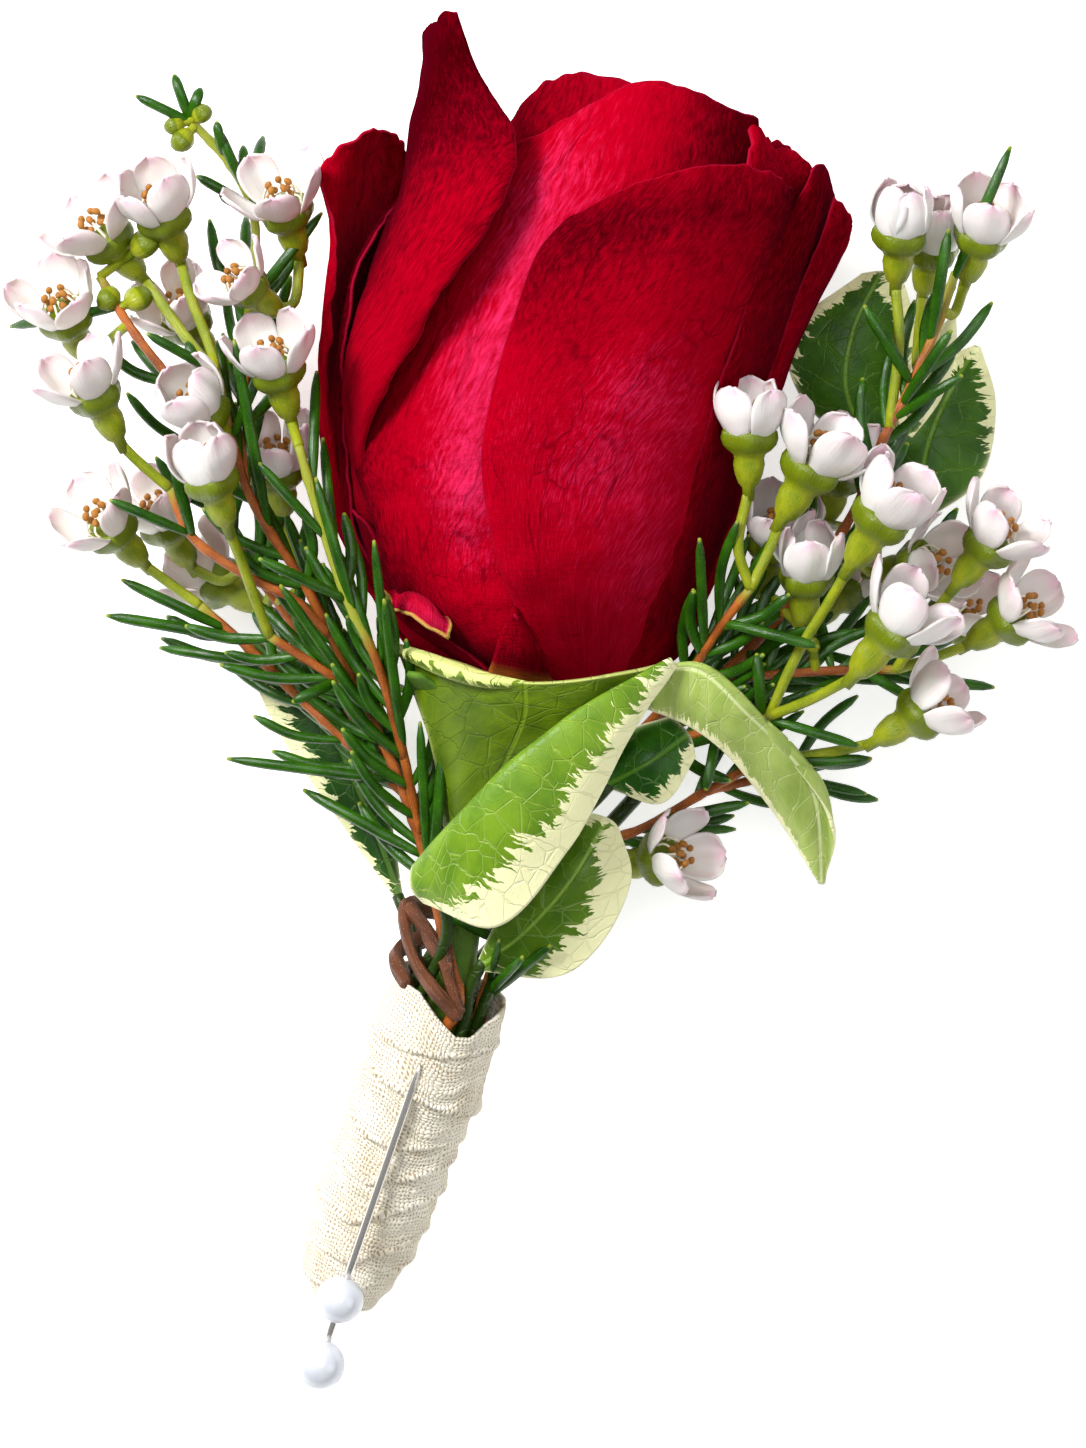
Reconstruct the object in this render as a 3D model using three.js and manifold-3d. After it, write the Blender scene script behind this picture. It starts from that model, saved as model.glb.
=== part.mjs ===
// Boutonniere lying on its back: rose, waxflower sprays, variegated leaves, gauze wrap and pins.
// Millimetres. +Z is up from the table, +Y runs from the handle to the top of the bloom.
// The origin is on the table under the middle of the whole piece.

import * as THREE from 'three';
import { mergeVertices } from 'three/addons/utils/BufferGeometryUtils.js';
import Module from 'manifold-3d';

const wasm = await Module();
wasm.setup();

// Driving dimensions
const CLEARANCE = 0.3;
const SLIVER = 0.09;
const LEAF_SLIVER = 0.05;
const BLADE = 0.8;
const LEAF_BLADE = 0.7;
const SMALL_BLADE = 0.6;

// The bloom stands on a straight axis that leans a little up from the table
const ROSE_BASE = new THREE.Vector3(-3.7, 1.7, 15.5);
const ROSE_PLAN_DIRECTION = new THREE.Vector2(0.1389, 0.9903);
const ROSE_RISE = 0.085;
const ROSE_DEPTH = 0.9;
const BUD_LEAN_START = 28;
const BUD_LEAN = 6.0;
const BUD_LEAN_LENGTH = 22;
const BUD_PROFILE = [
  [0, 4], [2, 7.5], [5, 11], [11, 13.8], [17, 15.8], [23, 17], [31, 17.6], [38, 17.2],
  [44, 15.8], [50, 13], [55, 7.5], [60, 3],
];

// The handle: a straight bundle of stems wound with tape
const WRAP_TOP = new THREE.Vector3(-8.3, -25.6, 12.3);
const WRAP_END = new THREE.Vector3(-18.7, -54.3, 3.5);
const WRAP_RADII = [5.0, 5.3, 5.5, 5.4, 5.1, 5.1, 5.1, 5.0, 4.75, 4.2, 2.6];
const WRAP_TURNS = 7;
const WRAP_STEP = 0.35;
const WRAP_SIDES = 9;
const WRAP_RINGS = 13;

// A waxflower, from the foot of its green cup to the middle of its petals
const FLOWER_LENGTH = 7.2;
const CUP_PROFILE = [[0, 0.75], [3.2, 1.4], [5.2, 2.6]];
const CUP_SIDES = 4;
const HUB_START = 5.6;
const HUB_HEIGHT = 0.9;
const HUB_RADIUS = 2.1;
const PETAL_LENGTH = 3.9;
const PETALS = 5;
const PETAL_STEPS = [0, 0.24, 0.76];
const NOTCH_SHARE = 0.25;
const STALK_RADIUS = 0.5;
const TWIG_STEPS = 1;
const NEEDLE_RADIUS = 0.52;

const PEARL_UPPER_RADIUS = 2.17;
const PEARL_LOWER_RADIUS = 2.32;
const SHAFT_RADIUS = 0.37;
const SHAFT_SOCKET = 1.2;

// Materials
function finish(color, roughness, metalness = 0) {
  return new THREE.MeshStandardMaterial({ color, roughness, metalness });
}
const FINISH = {
  rose: finish(0x9b0620, 0.6),
  stem: finish(0x5f8c2b, 0.6),
  leaf: finish(0x5b9430, 0.45),
  spray: finish(0x3f7a2c, 0.5),
  petal: finish(0xf7eef0, 0.55),
  bark: finish(0x7a4a2c, 0.8),
  tape: finish(0xe9e2cf, 0.9),
  steel: finish(0xb9bcc0, 0.3, 1),
  pearl: finish(0xf6f6f4, 0.2),
};

// Solids from meshes
function toSolid(geometry) {
  const bare = geometry.clone();
  bare.deleteAttribute('normal');
  bare.deleteAttribute('uv');
  const merged = mergeVertices(bare, 1e-4);
  return new wasm.Manifold(new wasm.Mesh({
    numProp: 3,
    vertProperties: new Float32Array(merged.attributes.position.array),
    triVerts: new Uint32Array(merged.index.array),
  }));
}

function toGeometry(solid) {
  const mesh = solid.getMesh();
  const geometry = new THREE.BufferGeometry();
  geometry.setAttribute('position', new THREE.BufferAttribute(mesh.vertProperties, 3));
  geometry.setIndex(new THREE.BufferAttribute(mesh.triVerts, 1));
  geometry.computeVertexNormals();
  return geometry;
}

function solidFromArrays(points, faces) {
  const geometry = new THREE.BufferGeometry();
  geometry.setAttribute('position', new THREE.Float32BufferAttribute(points.flatMap((p) => [p.x, p.y, p.z]), 3));
  geometry.setIndex(faces.flat());
  const solid = toSolid(geometry);
  if (solid.volume() > 0) return solid;
  geometry.setIndex(faces.map(([a, b, c]) => [a, c, b]).flat());
  return toSolid(geometry);
}

function largestBody(solid) {
  let best = null;
  for (const body of solid.decompose()) {
    if (!best || body.volume() > best.volume()) best = body;
  }
  return best;
}

function joined(solids) {
  return solids.reduce((sum, solid) => sum.add(solid));
}

// A round solid swept along a line of points, with its own radius at each point
function frameAlong(points) {
  const frames = [];
  let side = null;
  points.forEach((point, i) => {
    const ahead = points[Math.min(i + 1, points.length - 1)];
    const behind = points[Math.max(i - 1, 0)];
    const tangent = ahead.clone().sub(behind).normalize();
    if (!side) {
      const seed = Math.abs(tangent.z) < 0.9 ? new THREE.Vector3(0, 0, 1) : new THREE.Vector3(1, 0, 0);
      side = seed.cross(tangent).normalize();
    }
    side = side.clone().addScaledVector(tangent, -side.dot(tangent)).normalize();
    frames.push({ point, tangent, side, up: tangent.clone().cross(side) });
  });
  return frames;
}

function sweep(points, radiusAt, sides, grow = 0) {
  const frames = frameAlong(points);
  const first = frames[0];
  const last = frames[frames.length - 1];
  const vertices = [];
  frames.forEach(({ point, side, up, tangent }, ring) => {
    const centre = point.clone();
    if (ring === 0) centre.addScaledVector(tangent, -grow);
    if (ring === frames.length - 1) centre.addScaledVector(tangent, grow);
    for (let k = 0; k < sides; k += 1) {
      const angle = (k / sides) * 2 * Math.PI;
      const radius = radiusAt(ring, angle) + grow;
      vertices.push(centre.clone()
        .addScaledVector(side, radius * Math.cos(angle))
        .addScaledVector(up, radius * Math.sin(angle)));
    }
  });
  const start = vertices.push(first.point.clone().addScaledVector(first.tangent, -grow)) - 1;
  const end = vertices.push(last.point.clone().addScaledVector(last.tangent, grow)) - 1;
  const faces = [];
  for (let k = 0; k < sides; k += 1) {
    const next = (k + 1) % sides;
    for (let ring = 0; ring < frames.length - 1; ring += 1) {
      const a = ring * sides;
      faces.push([a + k, a + next, a + sides + next], [a + k, a + sides + next, a + sides + k]);
    }
    const top = (frames.length - 1) * sides;
    faces.push([start, next, k], [end, top + k, top + next]);
  }
  return solidFromArrays(vertices, faces);
}

function smoothLine(points, steps) {
  return new THREE.CatmullRomCurve3(points, false, 'centripetal').getPoints(steps);
}

function taper(from, to, count) {
  return (ring) => THREE.MathUtils.lerp(from, to, ring / (count - 1));
}

// A thin blade stretched over ribs, each rib a line of points from foot to tip
function blade(ribs, thickness, across, along, grow = 0, strip = across) {
  const ribLines = ribs.map((rib) => smoothLine(rib, along));
  const grid = [];
  for (let j = 0; j <= along; j += 1) {
    grid.push(smoothLine(ribLines.map((line) => line[j]), across));
  }
  const at = (j, i) => grid[Math.min(Math.max(j, 0), along)][Math.min(Math.max(i, 0), across)];
  const half = thickness / 2 + grow;
  const top = [];
  const bottom = [];
  for (let j = 0; j <= along; j += 1) {
    for (let i = 0; i <= across; i += 1) {
      const acrossWay = at(j, i + 1).clone().sub(at(j, i - 1)).normalize();
      const alongWay = at(j + 1, i).clone().sub(at(j - 1, i)).normalize();
      const normal = acrossWay.clone().cross(alongWay).normalize();
      const point = at(j, i).clone();
      if (grow > 0) {
        if (i === 0) point.addScaledVector(acrossWay, -grow);
        if (i === across) point.addScaledVector(acrossWay, grow);
        if (j === 0) point.addScaledVector(alongWay, -grow);
        if (j === along) point.addScaledVector(alongWay, grow);
      }
      top.push(point.clone().addScaledVector(normal, half));
      bottom.push(point.clone().addScaledVector(normal, -half));
    }
  }
  const solids = [];
  for (let from = 0; from < across; from += strip) {
    const to = Math.min(from + strip, across);
    solids.push(stripSolid(top, bottom, across + 1, along, from, to));
  }
  return joined(solids);
}

// The part of a blade between two of its columns; a shared wall has the same triangles in both neighbours
function stripSolid(top, bottom, row, along, from, to) {
  const at = (j, i) => j * (to - from + 1) + (i - from);
  const vertices = [];
  for (const layer of [top, bottom]) {
    for (let j = 0; j <= along; j += 1) {
      for (let i = from; i <= to; i += 1) vertices.push(layer[j * row + i]);
    }
  }
  const under = vertices.length / 2;
  const faces = [];
  for (let j = 0; j < along; j += 1) {
    for (let i = from; i < to; i += 1) {
      const [a, b, c, d] = [at(j, i), at(j, i + 1), at(j + 1, i + 1), at(j + 1, i)];
      faces.push([a, b, c], [a, c, d]);
      faces.push([under + a, under + c, under + b], [under + a, under + d, under + c]);
    }
  }
  const wall = (a, b) => faces.push([a, under + a, under + b], [a, under + b, b]);
  for (let i = from; i < to; i += 1) {
    wall(at(0, i), at(0, i + 1));
    wall(at(along, i + 1), at(along, i));
  }
  for (let j = 0; j < along; j += 1) {
    wall(at(j, to), at(j + 1, to));
    const [a, b] = [at(j, from), at(j + 1, from)];
    faces.push([a, under + b, under + a], [a, b, under + b]);
  }
  return solidFromArrays(vertices, faces);
}

function vec([x, y, z]) {
  return new THREE.Vector3(x, y, z);
}

function ellipsoid(centre, radii, wide, high) {
  const geometry = new THREE.SphereGeometry(1, wide, high);
  geometry.scale(...radii);
  geometry.translate(centre.x, centre.y, centre.z);
  return toSolid(geometry);
}

// Seeded random draw
function seededDraw(seed) {
  let state = seed;
  return () => {
    state = (state * 1664525 + 1013904223) % 4294967296;
    return state / 4294967296;
  };
}

// Rose: positions on the bloom
function profileAt(profile, u) {
  const last = profile.length - 1;
  if (u <= profile[0][0]) return profile[0][1];
  for (let i = 1; i <= last; i += 1) {
    if (u <= profile[i][0]) {
      const [u0, r0] = profile[i - 1];
      const [u1, r1] = profile[i];
      return THREE.MathUtils.lerp(r0, r1, (u - u0) / (u1 - u0));
    }
  }
  return profile[last][1];
}

function budLean(u) {
  const past = Math.max(0, u - BUD_LEAN_START) / BUD_LEAN_LENGTH;
  return BUD_LEAN * Math.min(past * past, 1.4);
}

function roseCoordinates(x, y) {
  const [dx, dy] = [x - ROSE_BASE.x, y - ROSE_BASE.y];
  const [ax, ay] = [ROSE_PLAN_DIRECTION.x, ROSE_PLAN_DIRECTION.y];
  return { u: dx * ax + dy * ay, v: dx * ay - dy * ax };
}

function onAxis(u, v, w) {
  const [ax, ay] = [ROSE_PLAN_DIRECTION.x, ROSE_PLAN_DIRECTION.y];
  return new THREE.Vector3(
    ROSE_BASE.x + u * ax + v * ay,
    ROSE_BASE.y + u * ay - v * ax,
    ROSE_BASE.z + ROSE_RISE * u + w,
  );
}

function aroundBud(u, degrees, radius) {
  const angle = THREE.MathUtils.degToRad(degrees);
  return onAxis(u, budLean(u) + radius * Math.sin(angle), ROSE_DEPTH * radius * Math.cos(angle));
}

function overBud([x, y, lift]) {
  const { u, v } = roseCoordinates(x, y);
  const radius = profileAt(BUD_PROFILE, u);
  const off = v - budLean(u);
  const height = ROSE_DEPTH * Math.sqrt(Math.max(0, radius * radius - off * off));
  return new THREE.Vector3(x, y, ROSE_BASE.z + ROSE_RISE * u + height + lift);
}

// Petals that the front shows, as ribs from foot to rim: x, y and the lift off the bud
const FRONT_PETALS = {
  centre: [
    [[-3, 3, 0], [-10.2, 7.4, 0.6], [-15.3, 14.4, 1], [-17, 21.6, 1.4], [-13.5, 33, 0], [-8, 42, 0], [-3, 47.5, 0]],
    [[-1, 2, 0], [-6, 9, 0.4], [-8.5, 16, 0.4], [-8.5, 24, 0.4], [-5.5, 35, 0.3], [-1.5, 44, 0.2], [3, 52.2, 0]],
    [[2, 1.5, 0], [1, 9, 0], [1, 17, 0], [2, 26, 0], [4.5, 36, 0], [7, 46, 0], [8.7, 56, 0]],
    [[6, 3, 0], [8.5, 10, 0], [10.5, 18, 0], [12, 27, 0], [14, 36, 0], [15, 45, 0], [15.5, 53.8, 0]],
    [[9, 6, 0], [12.5, 12, 0], [14.5, 19, 0], [17, 28, 0], [19.5, 36, 0], [21, 42, 0], [22, 48, 0]],
  ],
  right_front: [
    [[0.5, 2.7, 0.6], [-4.8, 15.1, 1.6], [-5.2, 25, 1.9], [-2.1, 34.9, 2.1], [1.4, 40.2, 2.3]],
    [[2.5, 2.5, 1], [0, 14, 1.6], [0.6, 25, 1.9], [4, 36, 2.2], [8.3, 45, 2.6]],
    [[4.5, 2.6, 1], [5.5, 13, 1.7], [8, 25, 2], [12.5, 37, 2.3], [18, 47.8, 2.9]],
    [[6.3, 3, 1], [10.5, 12, 1.4], [14, 25, 1.8], [19, 37, 2.3], [23, 46.9, 2.6]],
    [[8.5, 5, 0.4], [13, 13, 0.8], [17, 25, 1], [21.5, 37, 1.2], [24.5, 45, 1.4]],
  ],
  right_side: [
    [[6.6, 3.6, 1.9], [10.6, 11.3, 2.4], [13.2, 18.1, 2.6], [15.7, 28, 2.8], [18.7, 36.2, 3.1], [24, 48, 3.6]],
    [[10, 4, 1.6], [14, 12, 1.6], [16.6, 20, 1.6], [19.2, 29, 2], [22.4, 37, 2.4], [25, 48.2, 2.6]],
    [[12, 5, -5], [15.4, 13, -5], [18.2, 21, -5], [20.6, 30, -4], [23.6, 38, -3], [26.2, 46, -2]],
    [[10.5, 5, -13], [14.4, 13, -14], [17.2, 21, -14], [20.2, 31, -13], [23.4, 38, -12], [26.4, 44, -10]],
  ],
  right_outer: [
    [[11, 6, -1], [15.6, 15, -1], [18, 22, -1], [21.2, 30.7, 0], [23.4, 37.8, 1], [26.4, 45.2, 2]],
    [[12.5, 6, -6], [16.6, 15, -6], [19.6, 23, -6], [22.4, 32, -5], [25.2, 39, -4], [28, 43.8, -3]],
    [[11, 6, -13], [15.4, 15, -15], [18.4, 23, -16], [21.4, 32, -15], [24.4, 38, -14], [27, 42, -12]],
  ],
  tall_left: [
    [[-9, 6, -12], [-15, 14, -10], [-16.4, 26, -8], [-14.6, 38, -6], [-12.2, 47, -2], [-11.4, 55, 1], [-11, 60.6, 3]],
    [[-10, 7, -4], [-16.8, 15, -3], [-18, 26, -1], [-15.2, 37, 2.5], [-12.2, 47, 5.5], [-10.3, 54.7, 6], [-10.5, 61, 5]],
    [[-9, 8, 1.4], [-15.8, 16, 2.4], [-16, 26, 3.4], [-11, 37, 5], [-8, 46, 7], [-7.2, 54, 8], [-9.6, 61.6, 6]],
    [[-8, 8.5, 0.8], [-14.6, 17, 2], [-13, 27.5, 3.6], [-7.2, 37.5, 5], [-2.6, 46.5, 6.4], [-3.9, 54, 7.4], [-8.8, 61.8, 6]],
  ],
  far_left: [
    [[-10, 5, -16], [-15.5, 12, -17], [-18, 24, -16], [-17, 36, -14], [-15.4, 44, -11], [-13, 49, -8]],
    [[-12, 6, -9], [-17.2, 13, -9], [-19.9, 24, -7], [-19, 36, -5], [-17.6, 45, -2], [-14.2, 52.2, 0]],
    [[-11.5, 7, -3], [-16.8, 14, -2], [-19.9, 25, -1], [-19.3, 36, 1], [-19.2, 43, 2], [-17.8, 50, 2]],
    [[-11, 8, -2.5], [-16.2, 15, -1.5], [-19.2, 25, 0], [-18.9, 36, 1.5], [-19.8, 42, 2.5], [-20.3, 47.6, 1.5]],
  ],
  low_left: [
    [[-4, 3, 1.4], [-8, 6, 1.6], [-11.8, 10.4, 1.6], [-15.6, 17, 2]],
    [[-6, 3.6, 1], [-10, 6.4, 0.6], [-14, 11, 0], [-17, 18.6, 0]],
    [[-7, 4, -4], [-11.6, 7.6, -5], [-15.6, 12, -6], [-18.2, 20, -6]],
  ],
  low_middle: [
    [[-1.6, 1.8, 1], [-3.2, 4, 1.4], [-4, 8, 1.6]],
    [[0, 1.6, 1.2], [-1, 4, 1.8], [-2.6, 8.2, 1.8]],
    [[2, 1.6, 1], [1.6, 4, 1.4], [-0.8, 7.8, 1.6]],
  ],
  back_top: [
    [[-8, 22, -3], [-8.5, 34, -4], [-7.6, 44, -4], [-4.4, 51.4, -3.4]],
    [[-2, 22, -2], [-2.6, 34, -3], [-2.4, 46, -4], [0.2, 56.8, -5]],
    [[5, 22, -2], [5, 34, -3], [6, 46, -5], [6, 57.2, -7]],
    [[12, 22, -3], [12, 34, -4], [12, 46, -6], [12, 55.4, -8]],
  ],
  crumpled_tip: [
    [[12, 26, -3], [15, 38, -3], [17.6, 48, -4], [19.2, 53, -4]],
    [[16, 26, -4], [18.5, 38, -4], [20.4, 47, -5], [21.4, 51.4, -5]],
    [[19, 27, -7], [21, 37, -7], [23, 45, -8], [24.4, 49.6, -9]],
  ],
};

// Petals on the underside and inside the bud: middle angle, half span, rim height, layer, flare
const ROUND_PETALS = [
  { middle: 180, half: 62, rim: 45, layer: 1.13, flare: 1.2 },
  { middle: 128, half: 44, rim: 46, layer: 1.06, flare: 1.4 },
  { middle: 235, half: 46, rim: 44, layer: 1.07, flare: 1.0 },
  { middle: 160, half: 60, rim: 52, layer: 0.95, flare: 0.2 },
  { middle: 225, half: 55, rim: 53, layer: 0.86, flare: 0, foot: 30 },
  { middle: 110, half: 55, rim: 53, layer: 0.76, flare: 0, foot: 32 },
  { middle: 350, half: 65, rim: 53, layer: 0.56, flare: 0, foot: 34 },
];
const ROUND_PETAL_FOOT = 2;
const ROUND_PETAL_RIM_DROP = 5;

// Every petal narrows to a foot that is sunk in the heart of the bloom
function withFoot(points) {
  const { u, v } = roseCoordinates(points[0].x, points[0].y);
  const depth = points[0].z - onAxis(u, 0, 0).z;
  const foot = u < 10 ? onAxis(1.6, v * 0.45, depth * 0.45) : onAxis(u - 3, v * 0.6, depth * 0.6);
  return [foot, ...points];
}

function roundPetalRibs({ middle, half, rim, layer, flare, foot = ROUND_PETAL_FOOT }) {
  return [-1, -0.5, 0, 0.5, 1].map((side) => {
    const rib = [];
    for (const t of [0, 0.2, 0.45, 0.7, 0.88, 1]) {
      const top = rim - ROUND_PETAL_RIM_DROP * side * side;
      const u = THREE.MathUtils.lerp(foot, top, t);
      const radius = layer * profileAt(BUD_PROFILE, u) + flare * t ** 4;
      rib.push(aroundBud(u, middle + side * half * (0.55 + 0.45 * Math.sqrt(t)), radius));
    }
    return rib;
  });
}

// The tight heart of the bud: place along the axis and radius
const ROSE_CORE = [[0, 4], [2, 7.8], [5, 11.2], [9, 12.4], [18, 13], [32, 13], [42, 9], [45, 4]];
const CORE_SIDES = 9;

function rosePetals(grow = 0) {
  const solids = [];
  solids.push(sweep(
    ROSE_CORE.map(([u]) => onAxis(u, budLean(u), 0)),
    (ring) => ROSE_CORE[ring][1],
    CORE_SIDES,
    grow,
  ));
  for (const ribs of Object.values(FRONT_PETALS)) {
    const wide = ribs.length > 3;
    const lines = ribs.map((rib) => withFoot(rib.map(overBud)));
    solids.push(blade(lines, BLADE, wide ? ribs.length - 1 : 2, wide ? 5 : 4, grow));
  }
  for (const petal of ROUND_PETALS) {
    solids.push(blade(roundPetalRibs(petal), BLADE, 3, 3, grow));
  }
  return joined(solids);
}

// Rose stem: receptacle with five sepals, and the stem that runs inside the tape
const STEM_RADIUS = 2.0;
const WRAP_WAY = WRAP_END.clone().sub(WRAP_TOP);
const WRAP_SIDE = new THREE.Vector3(-WRAP_WAY.y, WRAP_WAY.x, 0).normalize();
const WRAP_UP = WRAP_SIDE.clone().cross(WRAP_WAY).normalize();
if (WRAP_UP.z < 0) WRAP_UP.negate();

function inWrap(share, right, up) {
  return WRAP_TOP.clone().addScaledVector(WRAP_WAY, share)
    .addScaledVector(WRAP_SIDE, right).addScaledVector(WRAP_UP, up);
}

function roseStem(grow = 0) {
  const line = smoothLine([
    onAxis(-0.4, 0, 0), vec([-5.2, -6, 14.4]), vec([-7, -15, 13.2]), inWrap(0.05, 0, -0.4), inWrap(0.5, 0, -0.7),
    inWrap(0.88, 0, -0.7),
  ], 7);
  const solids = [sweep(line, taper(STEM_RADIUS + 0.2, STEM_RADIUS - 0.2, 8), 7, grow)];
  const hip = [onAxis(-4.5, 0, 0), onAxis(-3, 0, 0), onAxis(-1.2, 0, 0), onAxis(-0.3, 0, 0)];
  solids.push(sweep(hip, (ring) => [2.2, 3.6, 4.2, 3.6][ring], 8, grow));
  for (let k = 0; k < 5; k += 1) {
    const middle = 36 + 72 * k;
    const ribs = [-1, 0, 1].map((side) => [[-2.2, 3.2], [-1.6, 6.5], [-1.2, 10], [0.2, 13.5]].map(([u, radius], i) => (
      aroundBud(u, middle + side * [34, 20, 12, 3][i], radius)
    )));
    solids.push(blade(ribs, SMALL_BLADE, 2, 4, grow));
  }
  return joined(solids);
}

// Leaves, each as ribs from foot to tip, and the stalk that runs into the handle
const LEAVES = {
  leaf_collar: {
    ribs: [
      [[-8.8, -10.8, 16.5], [-9.6, -5, 19.6], [-10.6, -1, 21.5], [-13, 5.5, 21.6]],
      [[-7.8, -10.9, 18.6], [-7, -4.5, 23.4], [-6.6, 0, 26.4], [-8.2, 4.2, 27.4]],
      [[-6.8, -10.8, 19], [-3, -4, 25], [-1.6, -0.2, 28.2], [-1.6, 2.2, 29.6]],
      [[-6.2, -10.6, 18.8], [1, -4.2, 25], [4.2, -0.2, 27.6], [4.8, 2.6, 29]],
      [[-5.6, -10.4, 18], [3, -5, 22.6], [8, -0.6, 24.6], [11.6, 4.1, 25]],
    ],
    stalk: [[-7.2, -10.4, 18.2], [-8, -18, 16.9], 0.02, -3.4, 0.9, 0.12],
  },
  leaf_front: {
    ribs: [
      [[-10, -13.4, 20], [-6, -9.6, 23.4], [-1, -5.4, 25.9], [5, -1, 27], [11, 3.4, 26.6]],
      [[-11.6, -14.4, 22.6], [-7.4, -9.6, 27], [-1.9, -4.3, 29.2], [4.6, 0.6, 29.4], [11.4, 4.2, 27.6]],
      [[-11.8, -16, 22.6], [-6, -13.4, 27.2], [0.2, -8.6, 28.9], [6, -2.6, 28.8], [11.6, 4.1, 27.3]],
      [[-10.6, -17.4, 21.6], [-4.2, -19.5, 24.4], [2.4, -12.4, 26.3], [7, -3.6, 27], [11.8, 3.9, 27]],
    ],
    stalk: [[-9.6, -15.2, 21.2], [-8.6, -20, 18.6], 0.02, -2.4, 2.8, 0.12],
  },
  leaf_lower: {
    ribs: [
      [[-6, -23.2, 16.6], [-4, -19, 18.6], [0, -14, 20.2], [4.2, -9.4, 20.6]],
      [[-6, -23.4, 16.7], [-1.4, -20.4, 19.8], [3, -15.4, 21.4], [6, -10, 20.9]],
      [[-5.8, -23.7, 16.6], [2.6, -23.6, 18.2], [7.8, -15.6, 19.4], [6.8, -10.8, 20.6]],
    ],
    stalk: [[-5.4, -22.8, 16.9], [-6.6, -25.4, 15.8], 0.04, 2.1, 3.0, 0.12],
  },
  leaf_small: {
    ribs: [
      [[5.6, -6.8, 21.2], [8.4, -3.4, 21.4], [12, -1.4, 20.8]],
      [[5.5, -7, 21.4], [9.3, -5, 22.6], [13, -2.4, 21]],
      [[5.8, -7.2, 21.2], [10.6, -8.5, 20.6], [13.6, -4.4, 20.4]],
    ],
    stalk: [[6, -6.9, 21.3], [0, -13.8, 17.6], 0.02, 3.2, 1.6, 0.12],
  },
  leaf_right_fold: {
    ribs: [
      [[8.6, 0.2, 23.6], [12.6, -1.4, 23.6], [15.6, -3.4, 22], [20.6, -9, 16.6], [24.8, -15.4, 12.6]],
      [[9.6, 2.2, 25], [13.2, 1.6, 25.6], [16.6, -1.4, 24.2], [22, -8.2, 18.6], [25, -15.8, 13]],
      [[10.6, 3.6, 25.4], [14, 3.8, 26.4], [18.4, 0, 24.4], [24.6, -6.6, 18.6], [25.2, -15.9, 13]],
      [[11, 3.8, 25], [14.8, 3.6, 25.8], [19.4, -1.6, 23], [26.2, -11, 16.2], [25.4, -15.8, 12.8]],
    ],
    stalk: [[9.6, 1.4, 24.4], [4, -8, 20.4], 0.02, 2.9, -2.0, 0.12],
  },
  leaf_back_left: {
    ribs: [
      [[-13, -17.6, 8.6], [-19.6, -8.6, 8.8], [-24.6, -1, 9], [-27.2, 5.4, 9.4]],
      [[-12.9, -17.7, 8.8], [-17.6, -7.4, 9.6], [-21.8, 0.4, 9.8], [-26.6, 6, 9.6]],
      [[-12.7, -17.8, 8.6], [-14.6, -7, 8.6], [-18.6, 2, 8.8], [-26, 6.2, 9.4]],
    ],
    stalk: [[-13.2, -17, 8.8], [-11.6, -21.4, 9.4], 0.04, -3.2, -1.5, 0.12],
  },
};
const SPRIG_LEAVES = [
  [
    [[30, 22.4, 11], [23.4, 28, 12], [22.2, 33.6, 12.2], [28.8, 39.2, 12.4]],
    [[30.4, 22.4, 11.2], [27.4, 28.6, 13.2], [28, 34, 13.6], [30.6, 39.4, 12.6]],
    [[30.9, 22.4, 11], [32.2, 28, 12], [33.6, 34, 12.4], [32.4, 39, 12.4]],
  ],
  [
    [[33.2, 17.2, 9.6], [31.4, 23.6, 9.8], [35, 30.6, 9.6], [38.9, 32.8, 9.4]],
    [[33.8, 17.2, 9.8], [34.8, 23.6, 10.8], [37, 29, 10.6], [39.3, 32.8, 9.4]],
    [[34.6, 17, 9.6], [39.6, 20.8, 9.8], [41, 27.6, 9.6], [39.7, 32.6, 9.4]],
  ],
  [
    [[32.4, 24.6, 14.6], [31.8, 29, 15.2], [34.4, 32.6, 15.4], [36.8, 35.2, 15]],
    [[32.8, 24.6, 14.8], [33.8, 28.6, 16], [35.4, 32, 16], [37, 35.2, 15]],
    [[33.2, 24.4, 14.6], [35.8, 27.8, 15.2], [37, 31.6, 15.2], [37.2, 35, 15]],
  ],
];
const SPRIG_STEM = [[3, -14, 8.6], [13, -3, 8.6], [22, 7.5, 9], [29, 17, 10], [30.4, 22.8, 11], [32.8, 25, 14.6]];
const SPRIG_STALK = [[29, 17, 10], [32, 16.4, 9.8], [34, 18, 9.8]];
const STALK_SIDES = 4;

function leafSolid({ ribs, stalk }, grow = 0) {
  const [root, bend, share, right, up, deeper] = stalk;
  const line = smoothLine([
    vec(root), vec(bend), inWrap(share, right, up), inWrap(share + deeper, right, up),
  ], 4);
  return blade(ribs.map((rib) => rib.map(vec)), LEAF_BLADE, ribs.length > 3 ? 6 : 4, 5, grow, 1)
    .add(sweep(line, () => 0.55, STALK_SIDES, grow));
}

function sprigSolid(grow = 0) {
  const stem = smoothLine([inWrap(0.2, 0.6, -3.3), inWrap(0.02, 0.6, -3.3), ...SPRIG_STEM.map(vec)], 8);
  const solids = [sweep(stem, taper(0.8, 0.55, 9), STALK_SIDES, grow)];
  solids.push(sweep(smoothLine(SPRIG_STALK.map(vec), 3), () => 0.5, STALK_SIDES, grow));
  for (const ribs of SPRIG_LEAVES) {
    solids.push(blade(ribs.map((rib) => rib.map(vec)), LEAF_BLADE, 4, 5, grow));
  }
  return joined(solids);
}

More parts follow.
